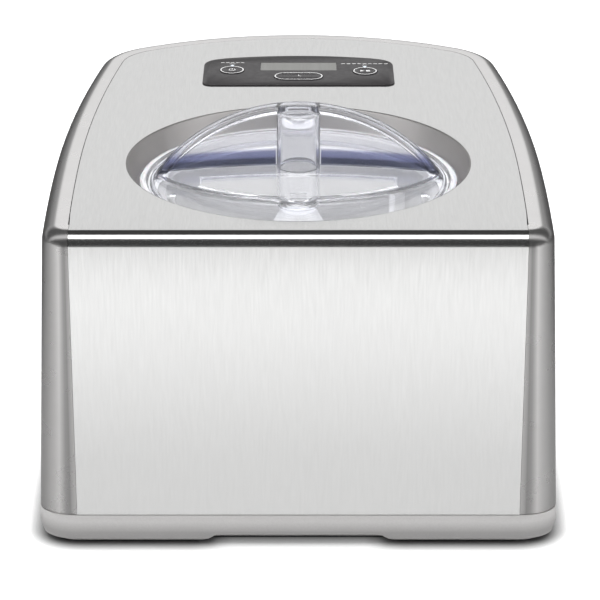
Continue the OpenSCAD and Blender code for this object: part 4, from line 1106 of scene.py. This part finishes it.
# ---------------------------------------------------------------- Mixing bowl and bail
# The lift-out bowl is spun and anodised aluminium with a rolled rim and a tube up its middle for the
# drive shaft. Its bail is a bent bright rod that turns in two riveted ears.
rim_top = bowl_high[2]
bowl_radius = 0.084
bowl_wall, core_radius = 0.0012, 0.015
bowl_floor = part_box("chilled_bowl")[0][2] + 0.0022
core_top = lid_low[2] - 0.003 - 0.022
bowl_rim_low = rim_top - 0.0016
bowl_profile = [(core_radius - bowl_wall, bowl_floor), (bowl_radius - 0.008, bowl_floor)]
bowl_profile += [(bowl_radius - 0.008 * (1 - math.sin(a)), bowl_floor + 0.008 * (1 - math.cos(a)))
                 for a in (math.radians(90 * i / 8) for i in range(1, 9))]
bowl_profile += [(bowl_radius, bowl_rim_low), (bowl_radius + 0.0026, bowl_rim_low),
                 (bowl_radius + 0.0030, bowl_rim_low + 0.0004), (bowl_radius + 0.0030, rim_top - 0.0005),
                 (bowl_radius + 0.0024, rim_top), (bowl_radius - 0.0004, rim_top),
                 (bowl_radius - bowl_wall, rim_top - 0.0006)]
inner_radius = bowl_radius - bowl_wall
bowl_profile += [(inner_radius - 0.0068 * (1 - math.sin(a)),
                  bowl_floor + bowl_wall + 0.0068 * (1 - math.cos(a)))
                 for a in (math.radians(90 * i / 8) for i in range(8, -1, -1))]
bowl_profile += [(core_radius + 0.004, bowl_floor + bowl_wall),
                 (core_radius + 0.0012, bowl_floor + bowl_wall + 0.0009),
                 (core_radius, bowl_floor + bowl_wall + 0.0032), (core_radius, core_top - 0.0004),
                 (core_radius - 0.0004, core_top), (core_radius - bowl_wall, core_top)]
bowl = lathe("spun_bowl", bowl_profile, 144, closed=True)
bail_low, bail_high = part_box("bowl_bail")
ear_z = (bail_low[2] + bail_high[2]) / 2
for side in (-1, 1):
    ear = prism("ear", bar(dish_y, ear_z, 0.003, 0.003), side * (bowl_radius - 0.0005),
                side * (bowl_radius - 0.0018), axis=0)
    cut(bowl, ear, "UNION")
    pin = prism("pin", circle(dish_y, ear_z, 0.0015, 24), side * (bowl_radius - 0.0006),
                side * (bowl_radius - 0.0046), axis=0)
    cut(bowl, pin, "UNION")
smooth(bowl, 30)
aluminium = brushed_metal("spun_aluminium", (260, 260, 1900), (0.80, 0.80, 0.80), (0.90, 0.90, 0.895), 0.5,
                          3e-6)
bowl.data.materials.clear()
bowl.data.materials.append(aluminium)
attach(bowl, "bowl")
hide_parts("mixing_bowl")
bright_steel = brushed_metal("bright_steel", (700, 700, 700), (0.60, 0.60, 0.60), (0.74, 0.74, 0.74), 0.22,
                             1e-6)
dress(bright_steel, "bowl_bail")

# ---------------------------------------------------------------- Paddle and drive
# The white acetal paddle stands over the bowl's middle tube and is turned by the hexagon on the shaft's
# end. Below the bowl a motor drives it through two pairs of nylon gears in a die-cast case.
dress(white_plastic, "mixing_paddle")
dress(bright_steel, "drive_shaft", "idler_pin")
bronze = brushed_metal("sintered_bronze", (900, 900, 900), (0.42, 0.28, 0.14), (0.58, 0.40, 0.22), 0.42,
                       8e-6)
dress(bronze, "shaft_bush")
die_cast = brushed_metal("die_cast_zinc", (420, 420, 420), (0.40, 0.40, 0.41), (0.52, 0.52, 0.53), 0.46,
                         2e-5)
dress(die_cast, "gearbox_case", "gearbox_cover")
nylon, shader = moulded("gear_nylon", (0.72, 0.69, 0.60), (0.80, 0.77, 0.69), 0.42)
dress(nylon, "drive_gear", "idler_gear", "motor_pinion")
motor_black, shader = moulded("motor_enamel", (0.030, 0.030, 0.032), (0.055, 0.055, 0.058), 0.36, 500)
dress(motor_black, "drive_motor", "fan_motor", "compressor")

# ---------------------------------------------------------------- Chilled bowl and its insulation
# The aluminium bowl that the mixing bowl stands in is wound with copper tube and sunk in rigid foam, all
# of it standing on a moulded cradle.
dress(aluminium, "chilled_bowl")
copper = brushed_metal("copper_tube", (500, 500, 500), (0.62, 0.28, 0.17), (0.80, 0.42, 0.28), 0.3, 3e-6)
dress(copper, "evaporator_coil", "suction_line", "discharge_line", "capillary_tube", "filter_drier")
foam, shader = moulded("rigid_foam", (0.62, 0.53, 0.32), (0.76, 0.68, 0.46), 0.85, 260, 2e-4)
dress(foam, "foam_jacket")
grey_plastic, shader = moulded("grey_plastic", (0.17, 0.17, 0.17), (0.23, 0.23, 0.23), 0.5, 700, 1.5e-5)
dress(grey_plastic, "bowl_cradle", "fan_shroud", "wall_brackets", "cord_gland")

# ---------------------------------------------------------------- Condenser
# Thin aluminium fins stand in a row along copper tubes, pressed on so that they touch, behind the slots
# on the right. The fan blows through them.
cond_low, cond_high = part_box("condenser")
fin_count = 41
fin_thickness = 0.0004
tube_reach = 0.003
fins_front, fins_back = cond_low[1] + tube_reach, cond_high[1] - tube_reach
fin_outline = bar((cond_low[0] + cond_high[0]) / 2, fins_front + fin_thickness / 2,
                  (cond_high[0] - cond_low[0]) / 2, fin_thickness / 2)
fin_points, fin_faces = slab(fin_outline, cond_low[2], cond_high[2])
fins = add_object("condenser_fins", mesh_of("condenser_fins", fin_points, fin_faces))
fin_metal = brushed_metal("fin_aluminium", (300, 300, 1200), (0.58, 0.58, 0.58), (0.72, 0.72, 0.72), 0.4,
                          3e-6)
row = bpy.data.node_groups.new("fin_row", "GeometryNodeTree")
row.interface.new_socket("Geometry", in_out="INPUT", socket_type="NodeSocketGeometry")
count_socket = row.interface.new_socket("Count", in_out="INPUT", socket_type="NodeSocketInt")
pitch_socket = row.interface.new_socket("Pitch", in_out="INPUT", socket_type="NodeSocketVector")
metal_socket = row.interface.new_socket("Metal", in_out="INPUT", socket_type="NodeSocketMaterial")
row.interface.new_socket("Geometry", in_out="OUTPUT", socket_type="NodeSocketGeometry")
row_in = row.nodes.new("NodeGroupInput")
row_out = row.nodes.new("NodeGroupOutput")
line = row.nodes.new("GeometryNodeMeshLine")
line.mode = "OFFSET"
stand = row.nodes.new("GeometryNodeInstanceOnPoints")
real = row.nodes.new("GeometryNodeRealizeInstances")
coat = row.nodes.new("GeometryNodeSetMaterial")
row.links.new(row_in.outputs["Count"], line.inputs["Count"])
row.links.new(row_in.outputs["Pitch"], line.inputs["Offset"])
row.links.new(line.outputs["Mesh"], stand.inputs["Points"])
row.links.new(row_in.outputs["Geometry"], stand.inputs["Instance"])
row.links.new(stand.outputs["Instances"], real.inputs["Geometry"])
row.links.new(real.outputs["Geometry"], coat.inputs["Geometry"])
row.links.new(row_in.outputs["Metal"], coat.inputs["Material"])
row.links.new(coat.outputs["Geometry"], row_out.inputs["Geometry"])
repeat = fins.modifiers.new("row", "NODES")
repeat.node_group = row
repeat[count_socket.identifier] = fin_count
repeat[pitch_socket.identifier] = (0.0, (fins_back - fins_front - fin_thickness) / (fin_count - 1), 0.0)
repeat[metal_socket.identifier] = fin_metal
settle(fins)
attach(fins, "housing")
tube_pieces = []
for x in (0.006, 0.016):
    for k in range(5):
        middle = (cond_low[0] + x, cond_low[2] + 0.012 + 0.020 * k)
        points, faces = slab(circle(*middle, 0.003, 24), cond_low[1], cond_high[1])
        tube_pieces.append(([(px, pz, py) for px, py, pz in points], faces, 0))
tubes = built("condenser_tubes", tube_pieces, [copper])
smooth(tubes, 40)
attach(tubes, "housing")
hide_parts("condenser")

# ---------------------------------------------------------------- Fan, electronics and small parts
# A white moulded fan; green circuit boards with black parts for the power and the controls; rubber feet and
# grommets; zinc-plated screws.
dress(white_plastic, "fan_blades")
board_green, shader = moulded("circuit_board", (0.014, 0.10, 0.045), (0.022, 0.15, 0.07), 0.35, 700)
dress(board_green, "power_board", "control_board")
part_black, shader = moulded("switch_black", (0.018, 0.018, 0.018), (0.035, 0.035, 0.035), 0.4)
dress(part_black, "tact_switches")
glass_grey, shader = moulded("display_glass", (0.30, 0.34, 0.28), (0.36, 0.40, 0.33), 0.2)
dress(glass_grey, "display_module")
rubber, shader = moulded("rubber", (0.022, 0.022, 0.022), (0.042, 0.042, 0.042), 0.75, 800, 3e-5)
dress(rubber, "rubber_feet", "compressor_grommets")
plated = brushed_metal("zinc_plate", (600, 600, 600), (0.52, 0.52, 0.50), (0.66, 0.66, 0.63), 0.33, 4e-6)
dress(plated, "base_screws")
